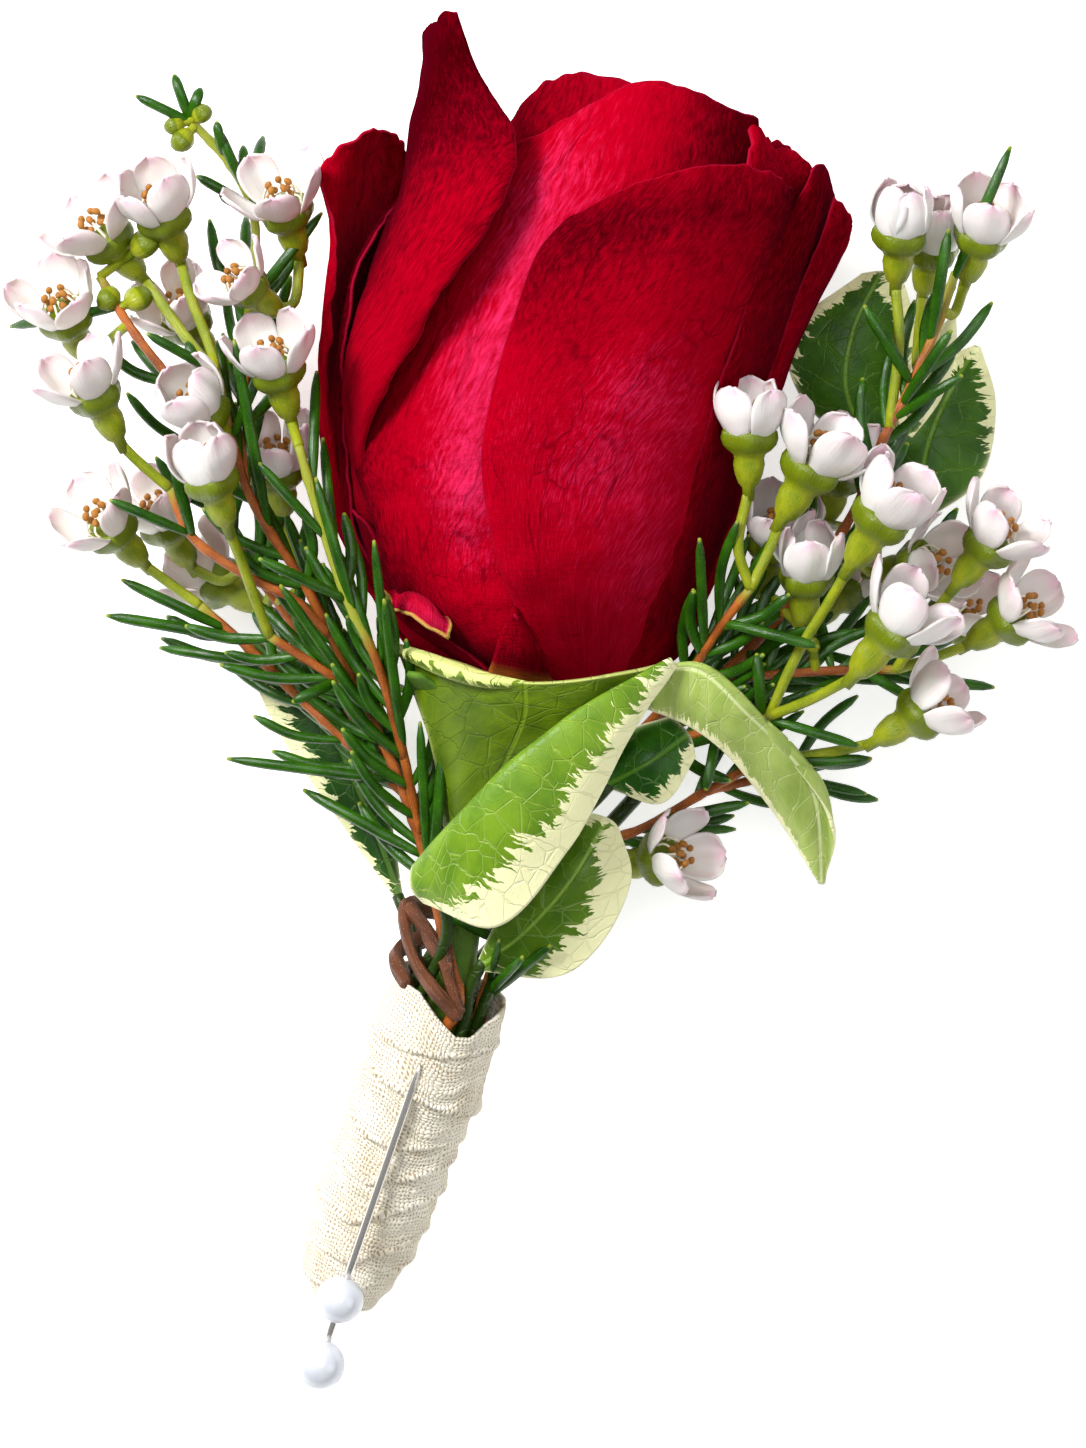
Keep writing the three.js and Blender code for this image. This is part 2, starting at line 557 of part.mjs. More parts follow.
// Tape wound round the stems in overlapping turns
function stemWrap(grow = 0) {
  const points = [];
  for (let i = 0; i < WRAP_RINGS; i += 1) points.push(inWrap(i / (WRAP_RINGS - 1), 0, 0));
  const radiusAt = (ring, angle) => {
    const share = ring / (WRAP_RINGS - 1);
    const slot = share * (WRAP_RADII.length - 1);
    const below = Math.min(Math.floor(slot), WRAP_RADII.length - 2);
    const plain = THREE.MathUtils.lerp(WRAP_RADII[below], WRAP_RADII[below + 1], slot - below);
    const turn = share * WRAP_TURNS + 0.5 + 0.5 * Math.sin(angle);
    return plain - 0.1 + WRAP_STEP * (1 - (turn - Math.floor(turn))) * (ring < WRAP_RINGS - 2 ? 1 : 0);
  };
  return sweep(points, radiusAt, WRAP_SIDES, grow);
}

// Pins: steel shaft, glued into a pearl head
const PINS = {
  upper: { head: [-18.4, -53.6, 10.9], point: [-11.0, -32, 16.3], radius: PEARL_UPPER_RADIUS },
  lower: { head: [-20.26, -59.7, 7.1], point: [-15.6, -44.9, 9.7], radius: PEARL_LOWER_RADIUS },
};

function pinShaft({ head, point, radius }, grow = 0) {
  const [from, to] = [vec(head), vec(point)];
  const way = to.clone().sub(from).normalize();
  const start = from.clone().addScaledVector(way, radius - SHAFT_SOCKET);
  const neck = to.clone().addScaledVector(way, -2.5);
  return sweep([start, neck, to], (ring) => [SHAFT_RADIUS, SHAFT_RADIUS, 0.1][ring], 8, grow);
}

function pinHead({ head, radius }, grow = 0) {
  const size = radius + grow;
  return ellipsoid(vec(head), [size, size, size], 10, 6);
}

// Bark-covered wire wound twice round the neck
const BARK_STRANDS = [
  [[-9.4, -18.4, 9.4], [-12.2, -18, 12], [-12.4, -19.8, 14], [-11.4, -23, 16], [-9.6, -25.6, 17.4], [-7.6, -27.8, 17.4]],
  [[-10.4, -20.6, 8.4], [-13, -22, 11.4], [-13.2, -23, 13.4], [-12.2, -25, 15.2]],
  [[-12.2, -18.1, 13], [-10.8, -19.6, 15], [-9.7, -21.6, 16.4], [-8.4, -23.6, 17.4]],
];

const BARK_SIDES = 4;

function barkWire(grow = 0) {
  const strands = BARK_STRANDS.map((points) => sweep(smoothLine(points.map(vec), 5), () => 0.8, BARK_SIDES, grow));
  const tie = [[-10.4, -20.6, 8.4], [-9.4, -18.4, 9.4]];
  strands.push(sweep(tie.map(vec), () => 0.75, BARK_SIDES, grow));
  const cross = [[-11.4, -23, 16], [-12.2, -24.6, 15]];
  strands.push(sweep(cross.map(vec), () => 0.75, BARK_SIDES, grow));
  return joined(strands);
}

// Waxflower sprays: twigs by name, each with its radii at foot and tip
const LEFT_TWIGS = {
  main: [0.85, 0.5, [[-7.6, -26.6, 16.1], [-8.6, -22, 16.5], [-10.9, -12.4, 17], [-13.5, -5.1, 18], [-16.4, 1, 19.4],
    [-20.8, 10.1, 22], [-26.2, 19, 24], [-29.2, 30, 24.5]]],
  outer: [0.6, 0.45, [[-27, 21, 24.1], [-32.5, 28.3, 22.8], [-36.9, 34, 21.4], [-39.7, 38.6, 20.4]]],
  cross: [0.55, 0.45, [[-19.2, 6.6, 21.2], [-22.2, 9.6, 22], [-26.2, 11.6, 22.2], [-31.4, 15.3, 21.8], [-33.4, 19.6, 21.4]]],
  low: [0.65, 0.5, [[-12.6, -7.6, 17.3], [-18.7, -2.1, 16.6], [-22.7, 1.6, 16], [-26, 4.9, 15.6], [-30.9, 9.2, 15]]],
  short: [0.5, 0.45, [[-15.4, -1, 18.7], [-17.8, 1.9, 19.6], [-24.5, 6.4, 21]]],
  inner: [0.6, 0.45, [[-11.1, -11.2, 17.1], [-12.6, -3.6, 20], [-13.6, 0.7, 21.6]]],
  green: [0.5, 0.45, [[-12.4, -4.6, 19.6], [-14.9, 4.3, 24.4], [-17.4, 9.5, 25.6], [-19.6, 15.9, 26.6], [-21.7, 23.2, 27]]],
  top: [0.6, 0.4, [[-26.6, 20, 24], [-26.6, 33, 20], [-25.9, 44, 18.6], [-28, 48.6, 19.4], [-31.6, 52.6, 20.6]]],
  back: [0.65, 0.4, [[-11.6, -9, 17], [-17, -1, 12.4], [-23, 8, 9.6], [-29, 17, 10], [-31.4, 25, 12.6]]],
};
const RIGHT_TWIGS = {
  main: [0.85, 0.45, [[-5.4, -26.4, 12.6], [0, -13, 12.4], [8, -3, 13.6], [15.5, 2.5, 15], [22, 9, 17], [27.8, 17.4, 18.6],
    [30.3, 23.6, 20], [32.7, 28.3, 20.6], [35.5, 34.7, 21.2], [36.9, 38.9, 21.4]]],
  inner: [0.6, 0.5, [[8, -3, 13.6], [12.6, 2, 18.4], [15.2, 6.3, 22], [18.5, 10.6, 24.2]]],
  mid: [0.55, 0.45, [[15.5, 2.5, 15], [20, 2.9, 17], [26, 3.3, 18], [31.7, 3.4, 18.6]]],
  front: [0.6, 0.5, [[8, -3, 13.6], [14, -2.4, 17], [20.2, -0.8, 21.4]]],
  low: [0.6, 0.45, [[0.6, -12, 12.5], [7.4, -11.5, 13.6], [14.8, -7.5, 15], [19.4, -4.9, 16.6]]],
  fork: [0.5, 0.4, [[14.8, -7.5, 15], [19.5, -6.4, 13.6], [24.6, -5, 12]]],
  back: [0.6, 0.4, [[8, -3, 13.6], [16, 0, 11], [24, 4.4, 10], [31, 8, 10.4], [35.6, 12, 12]]],
};

// Flowers: petals' middle, foot of the cup, how far it opens (0 to 1), twig, bends of the stalk
const LEFT_FLOWERS = [
  { petals: [-40.5, 43.6, 22], foot: [-36, 38.6], open: 0.95, twig: 'main', bends: [[-30.9, 31.8]] },
  { petals: [-34.5, 45.8, 25], foot: [-32.5, 40], open: 0.5, twig: 'main', bends: [[-31.6, 37], [-29.6, 31.8]] },
  { petals: [-43.7, 36.8, 20], foot: [-41.2, 31.6], open: 0.8, twig: 'outer', bends: [] },
  { petals: [-41, 30, 25], foot: [-37.9, 23.9], open: 0.9, twig: 'cross', bends: [[-36.5, 22.3]] },
  { petals: [-27.6, 38.4, 28], foot: [-23.4, 35.2], open: 1, twig: 'top', bends: [] },
  { petals: [-23.6, 46.4, 23], foot: [-21.9, 40.6], open: 0.9, twig: 'top', bends: [[-22.6, 36]] },
  { petals: [-24.2, 32, 29], foot: [-22.5, 25.8], open: 0.7, twig: 'green', bends: [] },
  { petals: [-31.4, 27.8, 27], foot: [-28, 23], open: 0.3, twig: 'main', bends: [] },
  { petals: [-30.1, 22.4, 30], foot: [-28.1, 16.2], open: 0.3, twig: 'short', bends: [[-27, 13.4], [-25.8, 10]] },
  { petals: [-40.2, 17.6, 19], foot: [-36, 13], open: 0.9, twig: 'low', bends: [] },
  { petals: [-35.2, 18.6, 12], foot: [-32, 13], open: 0.7, twig: 'back', bends: [[-29, 11.5]] },
  { petals: [-33.2, 36.6, 16], foot: [-30, 31.4], open: 0.7, twig: 'top', bends: [] },
  { petals: [-31.5, 12.6, 5.2], foot: [-26, 9.4], open: 0.8, twig: 'back', bends: [], down: true },
  { petals: [-24, 23.6, 16], foot: [-23.4, 17.4], open: 0.6, twig: 'back', bends: [[-22, 11]] },
];
const RIGHT_FLOWERS = [
  { petals: [18.4, 26.6, 27.5], foot: [18.3, 19.6], open: 0.4, twig: 'inner', bends: [[17.4, 14.3]] },
  { petals: [25.2, 23.6, 27], foot: [21.3, 16.8], open: 0.8, twig: 'inner', bends: [[20.2, 14.1]], size: 1.12 },
  { petals: [31.6, 19, 28], foot: [27.4, 12.6], open: 0.6, twig: 'front', bends: [[25.4, 9.2], [22.8, 4.9]], size: 1.12 },
  { petals: [35.8, 13, 16], foot: [30, 12.2], open: 0.8, twig: 'main', bends: [] },
  { petals: [23.7, 13.9, 21.8], foot: [23.3, 7.4], open: 0.35, twig: 'main', bends: [] },
  { petals: [32.8, 8.9, 29], foot: [27.7, 2.9], open: 0.8, twig: 'front', bends: [[23.7, 0.6]], size: 1.12 },
  { petals: [41.2, 16.4, 24], foot: [37, 11], open: 0.85, twig: 'mid', bends: [[34, 7]] },
  { petals: [44, 9.2, 19], foot: [38.3, 5.7], open: 0.95, twig: 'mid', bends: [[34.6, 4.3]] },
  { petals: [35.8, 0.8, 22], foot: [29.8, -3], open: 0.8, twig: 'low', bends: [[26.5, -3.9]] },
  { petals: [12.6, -13.2, 17.6], foot: [6.6, -14.4], open: 0.9, twig: 'low', bends: [] },
  { petals: [32.1, 44.4, 24], foot: [31.6, 38], open: 0.05, twig: 'main', bends: [[31.8, 33]] },
  { petals: [35.4, 43.4, 17.5], foot: [34.3, 37.4], open: 0.1, twig: 'main', bends: [] },
  { petals: [39.8, 44.2, 23], foot: [37.9, 38.2], open: 0.55, twig: 'main', bends: [[36.7, 35.2]] },
  { petals: [21.2, 17, 17], foot: [19.6, 11], open: 0.6, twig: 'main', bends: [] },
  { petals: [27.2, 23.2, 15], foot: [25.6, 17], open: 0.6, twig: 'main', bends: [] },
  { petals: [29.2, 12.4, 5.2], foot: [24.6, 8], open: 0.8, twig: 'back', bends: [], down: true },
  { petals: [38.8, 9.6, 9], foot: [34, 5.4], open: 0.8, twig: 'back', bends: [] },
];
const LEFT_BUDS = [[-32.4, 50.9, 21, 1.25], [-30, 52.4, 21.6, 0.95], [-38.9, 36.6, 21, 1.1], [-36.3, 36.6, 20.2, 1.2],
  [-35.6, 41.4, 22.4, 1.3]];
const RIGHT_BUDS = [[24.2, 5.6, 18.6, 0.7]];

// Needles that show in the outline: twig, foot and tip, with the rise of the tip
const LEFT_NEEDLES = [
  ['top', [-31.2, 52.3], [-36.4, 54.7], 1], ['top', [-31.3, 53.3], [-33, 56.6], 1], ['top', [-31.3, 53.6], [-30.6, 55.4], 1],
  ['top', [-28.6, 49.4], [-29.2, 52.4], 2], ['top', [-26, 46.6], [-26.9, 50.4], 2], ['top', [-25.8, 46], [-24.8, 51.3], 1],
  ['top', [-27, 44.6], [-31, 47.6], 2], ['outer', [-39, 37], [-48.1, 34.8], -1], ['main', [-29, 30], [-35.2, 33.2], 3],
  ['top', [-26.4, 36], [-19.8, 44.3], 1], ['cross', [-31.2, 15.3], [-33, 22.3], 4], ['cross', [-31.7, 15.4], [-38.6, 18.5], 3],
  ['low', [-28.4, 7], [-37.9, 11.5], 1], ['low', [-27.6, 6.4], [-39.3, 8.3], 0], ['low', [-25, 4], [-34.6, 5.4], -2],
  ['green', [-17.4, 9.6], [-25.2, 13.2], 3], ['inner', [-13.4, 0], [-15, 14.8], 7.4], ['inner', [-12.4, -4], [-14.1, 9.6], 8.6],
  ['main', [-9.8, -16], [-9, -3.9], 3.6], ['main', [-10.3, -14.4], [-11, -1.3], 4.4], ['main', [-13, -6.6], [-28.4, -4.6], -1],
  ['main', [-10.6, -13.4], [-21.6, -7.4], -2], ['main', [-16, 0], [-23.4, 10.9], 6], ['short', [-18.6, 2.2], [-22.4, 0.5], 2],
  ['main', [-9.4, -18], [-4, -21], -1.6], ['main', [-27.6, 24], [-24.6, 31], 2], ['main', [-24, 16], [-27.4, 32.6], 5.4],
];
const RIGHT_NEEDLES = [
  ['inner', [14.6, 5], [13.9, 15], 7], ['inner', [16.4, 7.4], [24.5, 5.4], 3], ['front', [19.6, -0.9], [19.1, 4.8], 2],
  ['front', [19.8, -1], [28.3, -3.5], 1], ['low', [19, -5], [29.5, -4.6], 2], ['fork', [21, -6], [29.2, -7.8], 0],
  ['front', [15.6, -2], [14.6, -7.4], 2], ['low', [10, -10.4], [18.5, -8.6], 2], ['low', [8.6, -11.2], [17.4, -11], -1],
  ['main', [36.5, 38], [41.7, 50], 3], ['main', [34.6, 32.6], [36.2, 42.6], 3], ['main', [31.6, 25.8], [37.4, 29.6], 4],
  ['main', [32, 27], [36.4, 33.6], 4], ['main', [33, 29], [28.7, 35.9], 2], ['mid', [28.6, 3.3], [33, 0.8], -1],
  ['main', [3.5, -8.6], [-1.7, -22.9], 0], ['main', [-1.6, -16.6], [0.6, -24], -1],
];
const SPRAYS = {
  left: {
    twigs: LEFT_TWIGS,
    flowers: LEFT_FLOWERS,
    buds: LEFT_BUDS,
    needles: LEFT_NEEDLES,
    foot: [inWrap(0.42, 0.3, 3.6), inWrap(0.12, 0.3, 3.8)],
    rule: { seed: 11, skip: { main: 0.1, back: 0.08 }, spacing: 32 },
  },
  right: {
    twigs: RIGHT_TWIGS,
    flowers: RIGHT_FLOWERS,
    buds: RIGHT_BUDS,
    needles: RIGHT_NEEDLES,
    foot: [inWrap(0.42, 3.6, 0), inWrap(0.12, 3.6, 0)],
    rule: { seed: 29, skip: { main: 0.12 }, spacing: 26 },
  },
};
const NEEDLE_LENGTH = [6.5, 10];
const NEEDLE_SPREAD = 0.62;

function clearOfRose(point, margin) {
  const { u, v } = roseCoordinates(point.x, point.y);
  if (u < -2 || u > 56) return point;
  const axis = onAxis(u, budLean(u), 0);
  const [side, depth] = [v - budLean(u), (point.z - axis.z) / ROSE_DEPTH];
  const reach = Math.hypot(side, depth);
  const need = profileAt(BUD_PROFILE, u) + 3.4 + margin;
  if (reach >= need) return point;
  const stretch = need / Math.max(reach, 0.1);
  return onAxis(u, budLean(u) + side * stretch, ROSE_DEPTH * depth * stretch);
}

function twigLines(twigs) {
  return Object.fromEntries(Object.entries(twigs).map(([name, [, , points]]) => {
    const line = smoothLine(points.map(vec), Math.round((points.length - 1) * TWIG_STEPS));
    return [name, line];
  }));
}

// The point of a twig that lies nearest to a place seen from above
function nearestOn(line, [x, y]) {
  let best = null;
  let bestGap = Infinity;
  for (let i = 0; i < line.length - 1; i += 1) {
    const [a, b] = [line[i], line[i + 1]];
    const [dx, dy] = [b.x - a.x, b.y - a.y];
    const share = THREE.MathUtils.clamp(((x - a.x) * dx + (y - a.y) * dy) / (dx * dx + dy * dy), 0, 1);
    const point = a.clone().lerp(b, share);
    const gap = Math.hypot(point.x - x, point.y - y);
    if (gap < bestGap) [best, bestGap] = [point, gap];
  }
  return best;
}

function flowerFrame({ petals, foot, size = 1, down = false }) {
  const [x, y, z] = petals;
  const plan = new THREE.Vector2(x - foot[0], y - foot[1]);
  const length = FLOWER_LENGTH * size;
  const level = Math.min(plan.length() / length, 0.99);
  const rise = Math.sqrt(1 - level * level) * (down ? -0.6 : 1);
  plan.normalize();
  const axis = new THREE.Vector3(plan.x * level, plan.y * level, rise).normalize();
  return { axis, start: new THREE.Vector3(x, y, z).addScaledVector(axis, -length), size };
}

function alongAxis({ start, axis, size }, distance) {
  return start.clone().addScaledVector(axis, distance * size);
}

// Five petals joined in a small hub: rings of points, each petal with a notch and two shoulders
function corolla(flower, turn, grow = 0) {
  const frame = flowerFrame(flower);
  const { axis, size } = frame;
  const side = new THREE.Vector3(0, 0, 1).cross(axis).normalize();
  const up = axis.clone().cross(side);
  const lean = THREE.MathUtils.lerp(0.02, 1.05, flower.open);
  const count = PETALS * PETAL_STEPS.length;
  const point = (k, radius, height) => {
    const petal = Math.floor(k / PETAL_STEPS.length);
    const angle = turn + ((petal + PETAL_STEPS[k % PETAL_STEPS.length]) / PETALS) * 2 * Math.PI;
    return alongAxis(frame, height)
      .addScaledVector(side, radius * size * Math.cos(angle))
      .addScaledVector(up, radius * size * Math.sin(angle));
  };
  const rim = (k, inward) => {
    const reach = k % PETAL_STEPS.length === 0 ? NOTCH_SHARE : 1;
    const radius = HUB_RADIUS + PETAL_LENGTH * reach * Math.sin(lean) - inward;
    return point(k, radius, HUB_START + 0.5 + PETAL_LENGTH * reach * Math.cos(lean) + inward * Math.sin(lean));
  };
  const rings = [
    (k) => rim(k, SMALL_BLADE + grow),
    (k) => rim(k, -grow),
    (k) => point(k, HUB_RADIUS + grow, HUB_START - grow),
  ];
  const vertices = rings.flatMap((ring) => Array.from({ length: count }, (_, k) => ring(k)));
  const inner = vertices.push(alongAxis(frame, HUB_START + HUB_HEIGHT + grow)) - 1;
  const outer = vertices.push(alongAxis(frame, HUB_START - grow)) - 1;
  const faces = [];
  for (let k = 0; k < count; k += 1) {
    const next = (k + 1) % count;
    faces.push([inner, k, next], [outer, 2 * count + next, 2 * count + k]);
    for (let ring = 0; ring < 2; ring += 1) {
      const a = ring * count;
      faces.push([a + k, a + count + next, a + next], [a + k, a + count + k, a + count + next]);
    }
  }
  return solidFromArrays(vertices, faces);
}

// A flower's stalk, from its twig, widening into the green cup
function greenCup(flower, lines, grow = 0) {
  const frame = flowerFrame(flower);
  const bends = [...flower.bends].reverse();
  const joint = nearestOn(lines[flower.twig], bends[0] ?? flower.foot);
  const points = [joint];
  const radii = [STALK_RADIUS];
  bends.forEach(([x, y], i) => {
    const share = (i + 1) / (bends.length + 1);
    const bend = new THREE.Vector3(x, y, THREE.MathUtils.lerp(joint.z, frame.start.z, share));
    if (bend.distanceTo(points[points.length - 1]) < 1) return;
    points.push(clearOfRose(bend, STALK_RADIUS));
    radii.push(STALK_RADIUS);
  });
  for (const [distance, radius] of CUP_PROFILE) {
    points.push(alongAxis(frame, distance));
    radii.push(radius * frame.size);
  }
  return sweep(points, (ring) => radii[ring], CUP_SIDES, grow);
}

// A three-sided needle that ends in a point
function needle(foot, tip, bow, grow = 0) {
  const middle = foot.clone().lerp(tip, 0.55).add(bow);
  const frames = frameAlong([foot, middle, tip]);
  const vertices = [0, 1].flatMap((ring) => [0, 1, 2].map((k) => {
    const angle = (k / 3) * 2 * Math.PI;
    const radius = NEEDLE_RADIUS * (ring === 0 ? 0.85 : 1) + 2 * grow;
    return frames[ring].point.clone()
      .addScaledVector(frames[ring].side, radius * Math.cos(angle))
      .addScaledVector(frames[ring].up, radius * Math.sin(angle));
  }));
  vertices.push(tip.clone().addScaledVector(frames[2].tangent, 4 * grow));
  const faces = [[0, 2, 1]];
  for (let k = 0; k < 3; k += 1) {
    const next = (k + 1) % 3;
    faces.push([k, next, 3 + next], [k, 3 + next, 3 + k], [3 + k, 3 + next, 6]);
  }
  return solidFromArrays(vertices, faces);
}

function ruleNeedles(twigs, lines, rule) {
  const draw = seededDraw(rule.seed);
  const needles = [];
  for (const name of Object.keys(twigs)) {
    const curve = new THREE.CatmullRomCurve3(lines[name]);
    const length = curve.getLength();
    const start = (rule.skip[name] ?? 0.05) * length;
    for (let s = start; s < length - 0.5; s += rule.spacing * (0.8 + 0.4 * draw())) {
      const root = curve.getPointAt(s / length);
      const way = curve.getTangentAt(s / length);
      const turn = draw() * 2 * Math.PI;
      const out = new THREE.Vector3(Math.cos(turn), Math.sin(turn) * 0.8, Math.sin(turn + 1.9));
      out.addScaledVector(way, -out.dot(way)).normalize();
      const reach = THREE.MathUtils.lerp(...NEEDLE_LENGTH, draw());
      const heading = way.clone().addScaledVector(out, NEEDLE_SPREAD + 0.4 * draw()).normalize();
      const tip = root.clone().addScaledVector(heading, reach);
      const bow = heading.clone().cross(way).cross(heading).multiplyScalar(-0.8);
      if (root.y < -24 || tip.y < -24) continue;
      needles.push([root, tip, bow]);
    }
  }
  return needles;
}

function sprayGreens({ twigs, flowers, buds, needles: fixed, rule, foot: footPath }, grow = 0) {
  const lines = twigLines(twigs);
  const solids = [];
  for (const [name, [thick, thin]] of Object.entries(twigs)) {
    const line = name === 'main' ? [...footPath, ...lines[name]] : lines[name];
    solids.push(sweep(line, taper(thick, thin, line.length), 4, grow));
  }
  for (const flower of flowers) solids.push(greenCup(flower, lines, grow));
  for (const [x, y, z, radius] of buds) {
    const root = Object.values(lines).flat().reduce((best, p) => (
      p.distanceTo(vec([x, y, z])) < best.distanceTo(vec([x, y, z])) ? p : best
    ));
    const size = radius + grow;
    solids.push(ellipsoid(vec([x, y, z]), [size, size, size], 6, 4));
    solids.push(sweep([root, vec([x, y, z])], () => STALK_RADIUS * 0.8, 4, grow));
  }
  const needles = fixed.map(([name, foot, tip, rise]) => {
    const root = nearestOn(lines[name], foot);
    return [root, new THREE.Vector3(tip[0], tip[1], root.z + rise), new THREE.Vector3(0, 0, 0.5)];
  });
  for (const [root, tip, bow] of needles.concat(ruleNeedles(twigs, lines, rule))) {
    const safeTip = clearOfRose(tip, 0.6);
    safeTip.z = Math.max(safeTip.z, 0.8);
    solids.push(needle(root, safeTip, bow, grow));
  }
  return joined(solids);
}

// Assembly: what is placed first keeps its shape, and what comes later is cut clear of it
const group = new THREE.Group();
const placed = [];
const table = new THREE.BoxGeometry(300, 300, 200);
table.translate(0, 0, 100);
const aboveTable = toSolid(table);

function boxesMeet(a, b) {
  const [one, two] = [a.boundingBox(), b.boundingBox()];
  return [0, 1, 2].every((k) => one.min[k] < two.max[k] && two.min[k] < one.max[k]);
}

function place(name, material, solid, fat, finest = SLIVER) {
  let body = solid;
  for (const other of placed) {
    if (boxesMeet(body, other.fat)) body = body.subtract(other.fat);
  }
  if (body.boundingBox().min[2] < 0) body = body.intersect(aboveTable);
  body = largestBody(body.simplify(finest));
  placed.push({ name, fat: fat ? fat.add(body) : body });
  const mesh = new THREE.Mesh(toGeometry(body), material);
  mesh.name = name;
  group.add(mesh);
}

place('rose_petals', FINISH.rose, rosePetals(), rosePetals(CLEARANCE));
place('rose_stem', FINISH.stem, roseStem(), roseStem(CLEARANCE));
for (const [name, leaf] of Object.entries(LEAVES)) {
  place(name, FINISH.leaf, leafSolid(leaf), leafSolid(leaf, CLEARANCE), LEAF_SLIVER);
}
place('leaf_sprig_back', FINISH.leaf, sprigSolid(), sprigSolid(CLEARANCE));
for (const [name, pin] of Object.entries(PINS)) {
  place(`pin_${name}_shaft`, FINISH.steel, pinShaft(pin), pinShaft(pin, CLEARANCE));
  place(`pin_${name}_head`, FINISH.pearl, pinHead(pin), pinHead(pin, CLEARANCE));
}
place('bark_wire', FINISH.bark, barkWire(), barkWire(CLEARANCE));
for (const [side, spray] of Object.entries(SPRAYS)) {
  spray.flowers.forEach((flower, i) => {
    const turn = 0.3 + i * 1.1;
    place(`corolla_${side}_${i + 1}`, FINISH.petal, corolla(flower, turn), corolla(flower, turn, CLEARANCE));
  });
}
for (const [side, spray] of Object.entries(SPRAYS)) {
  place(`waxflower_${side}_greens`, FINISH.spray, sprayGreens(spray), sprayGreens(spray, CLEARANCE));
}
place('stem_wrap', FINISH.tape, stemWrap());

// The origin goes under the middle of the whole piece
const middle = new THREE.Box3().setFromObject(group).getCenter(new THREE.Vector3());
for (const mesh of group.children) mesh.geometry.translate(-middle.x, -middle.y, 0);

export default group;
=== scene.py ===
# A boutonniere lying on its back: a red rose, two waxflower sprays and variegated leaves,
# bound with wire and gauze tape and fitted with two pearl-headed pins.
# Lengths are written in millimetres. X is the photo's right, Y its top, Z points to the camera.

import math

import bpy
import numpy as np
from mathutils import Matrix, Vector, noise


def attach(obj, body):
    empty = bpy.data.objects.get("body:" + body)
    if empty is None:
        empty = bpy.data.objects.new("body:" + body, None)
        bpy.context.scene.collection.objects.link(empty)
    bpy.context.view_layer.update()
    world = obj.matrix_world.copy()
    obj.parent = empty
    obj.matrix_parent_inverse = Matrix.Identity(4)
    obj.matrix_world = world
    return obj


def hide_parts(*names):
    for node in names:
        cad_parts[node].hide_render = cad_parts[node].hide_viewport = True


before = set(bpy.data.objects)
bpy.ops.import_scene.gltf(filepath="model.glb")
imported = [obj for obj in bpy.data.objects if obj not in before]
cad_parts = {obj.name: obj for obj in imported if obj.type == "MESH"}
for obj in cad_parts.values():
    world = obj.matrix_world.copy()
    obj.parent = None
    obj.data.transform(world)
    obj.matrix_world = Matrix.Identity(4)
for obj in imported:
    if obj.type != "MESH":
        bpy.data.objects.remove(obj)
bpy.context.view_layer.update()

# Rose bloom: a hybrid tea rose just opening. Broad velvety petals wrap round one another
# from a narrow foot, each with a thin rolled rim, so that every layer shadows the next.
MM = 0.001
# Moves what is drawn from the photo's middle so that its box stands over the origin
SHIFT = np.array([0.446, 0.041, 0])
# The bloom's axis: its foot, its way over the photo, how it climbs, and how flat the bud lies
ROSE_BASE = np.array([-3.7, 1.7, 15.5])
ROSE_WAY = np.array([0.1389, 0.9903])
ROSE_RISE = 0.085
ROSE_DEPTH = 0.9
# The bud bends aside from this height on, and its outline is height and radius
BUD_LEAN_START = 28.0
BUD_LEAN_LENGTH = 22.0
BUD_LEAN = 6.0
BUD_LEAN_MOST = 1.4
BUD_PROFILE = np.array([
    [0, 4], [2, 7.5], [5, 11], [11, 13.8], [17, 15.8], [23, 17], [31, 17.6], [38, 17.2],
    [44, 15.8], [50, 13], [55, 7.5], [60, 3],
], float)
PETAL_THICKNESS = 0.5
# A petal that starts lower than the first of these up the axis gets its foot at the second
LOW_PETAL = 10
FOOT_HEIGHT = 1.6
# How much lower a round petal's rim is at its sides than at its middle
RIM_FALL = 5

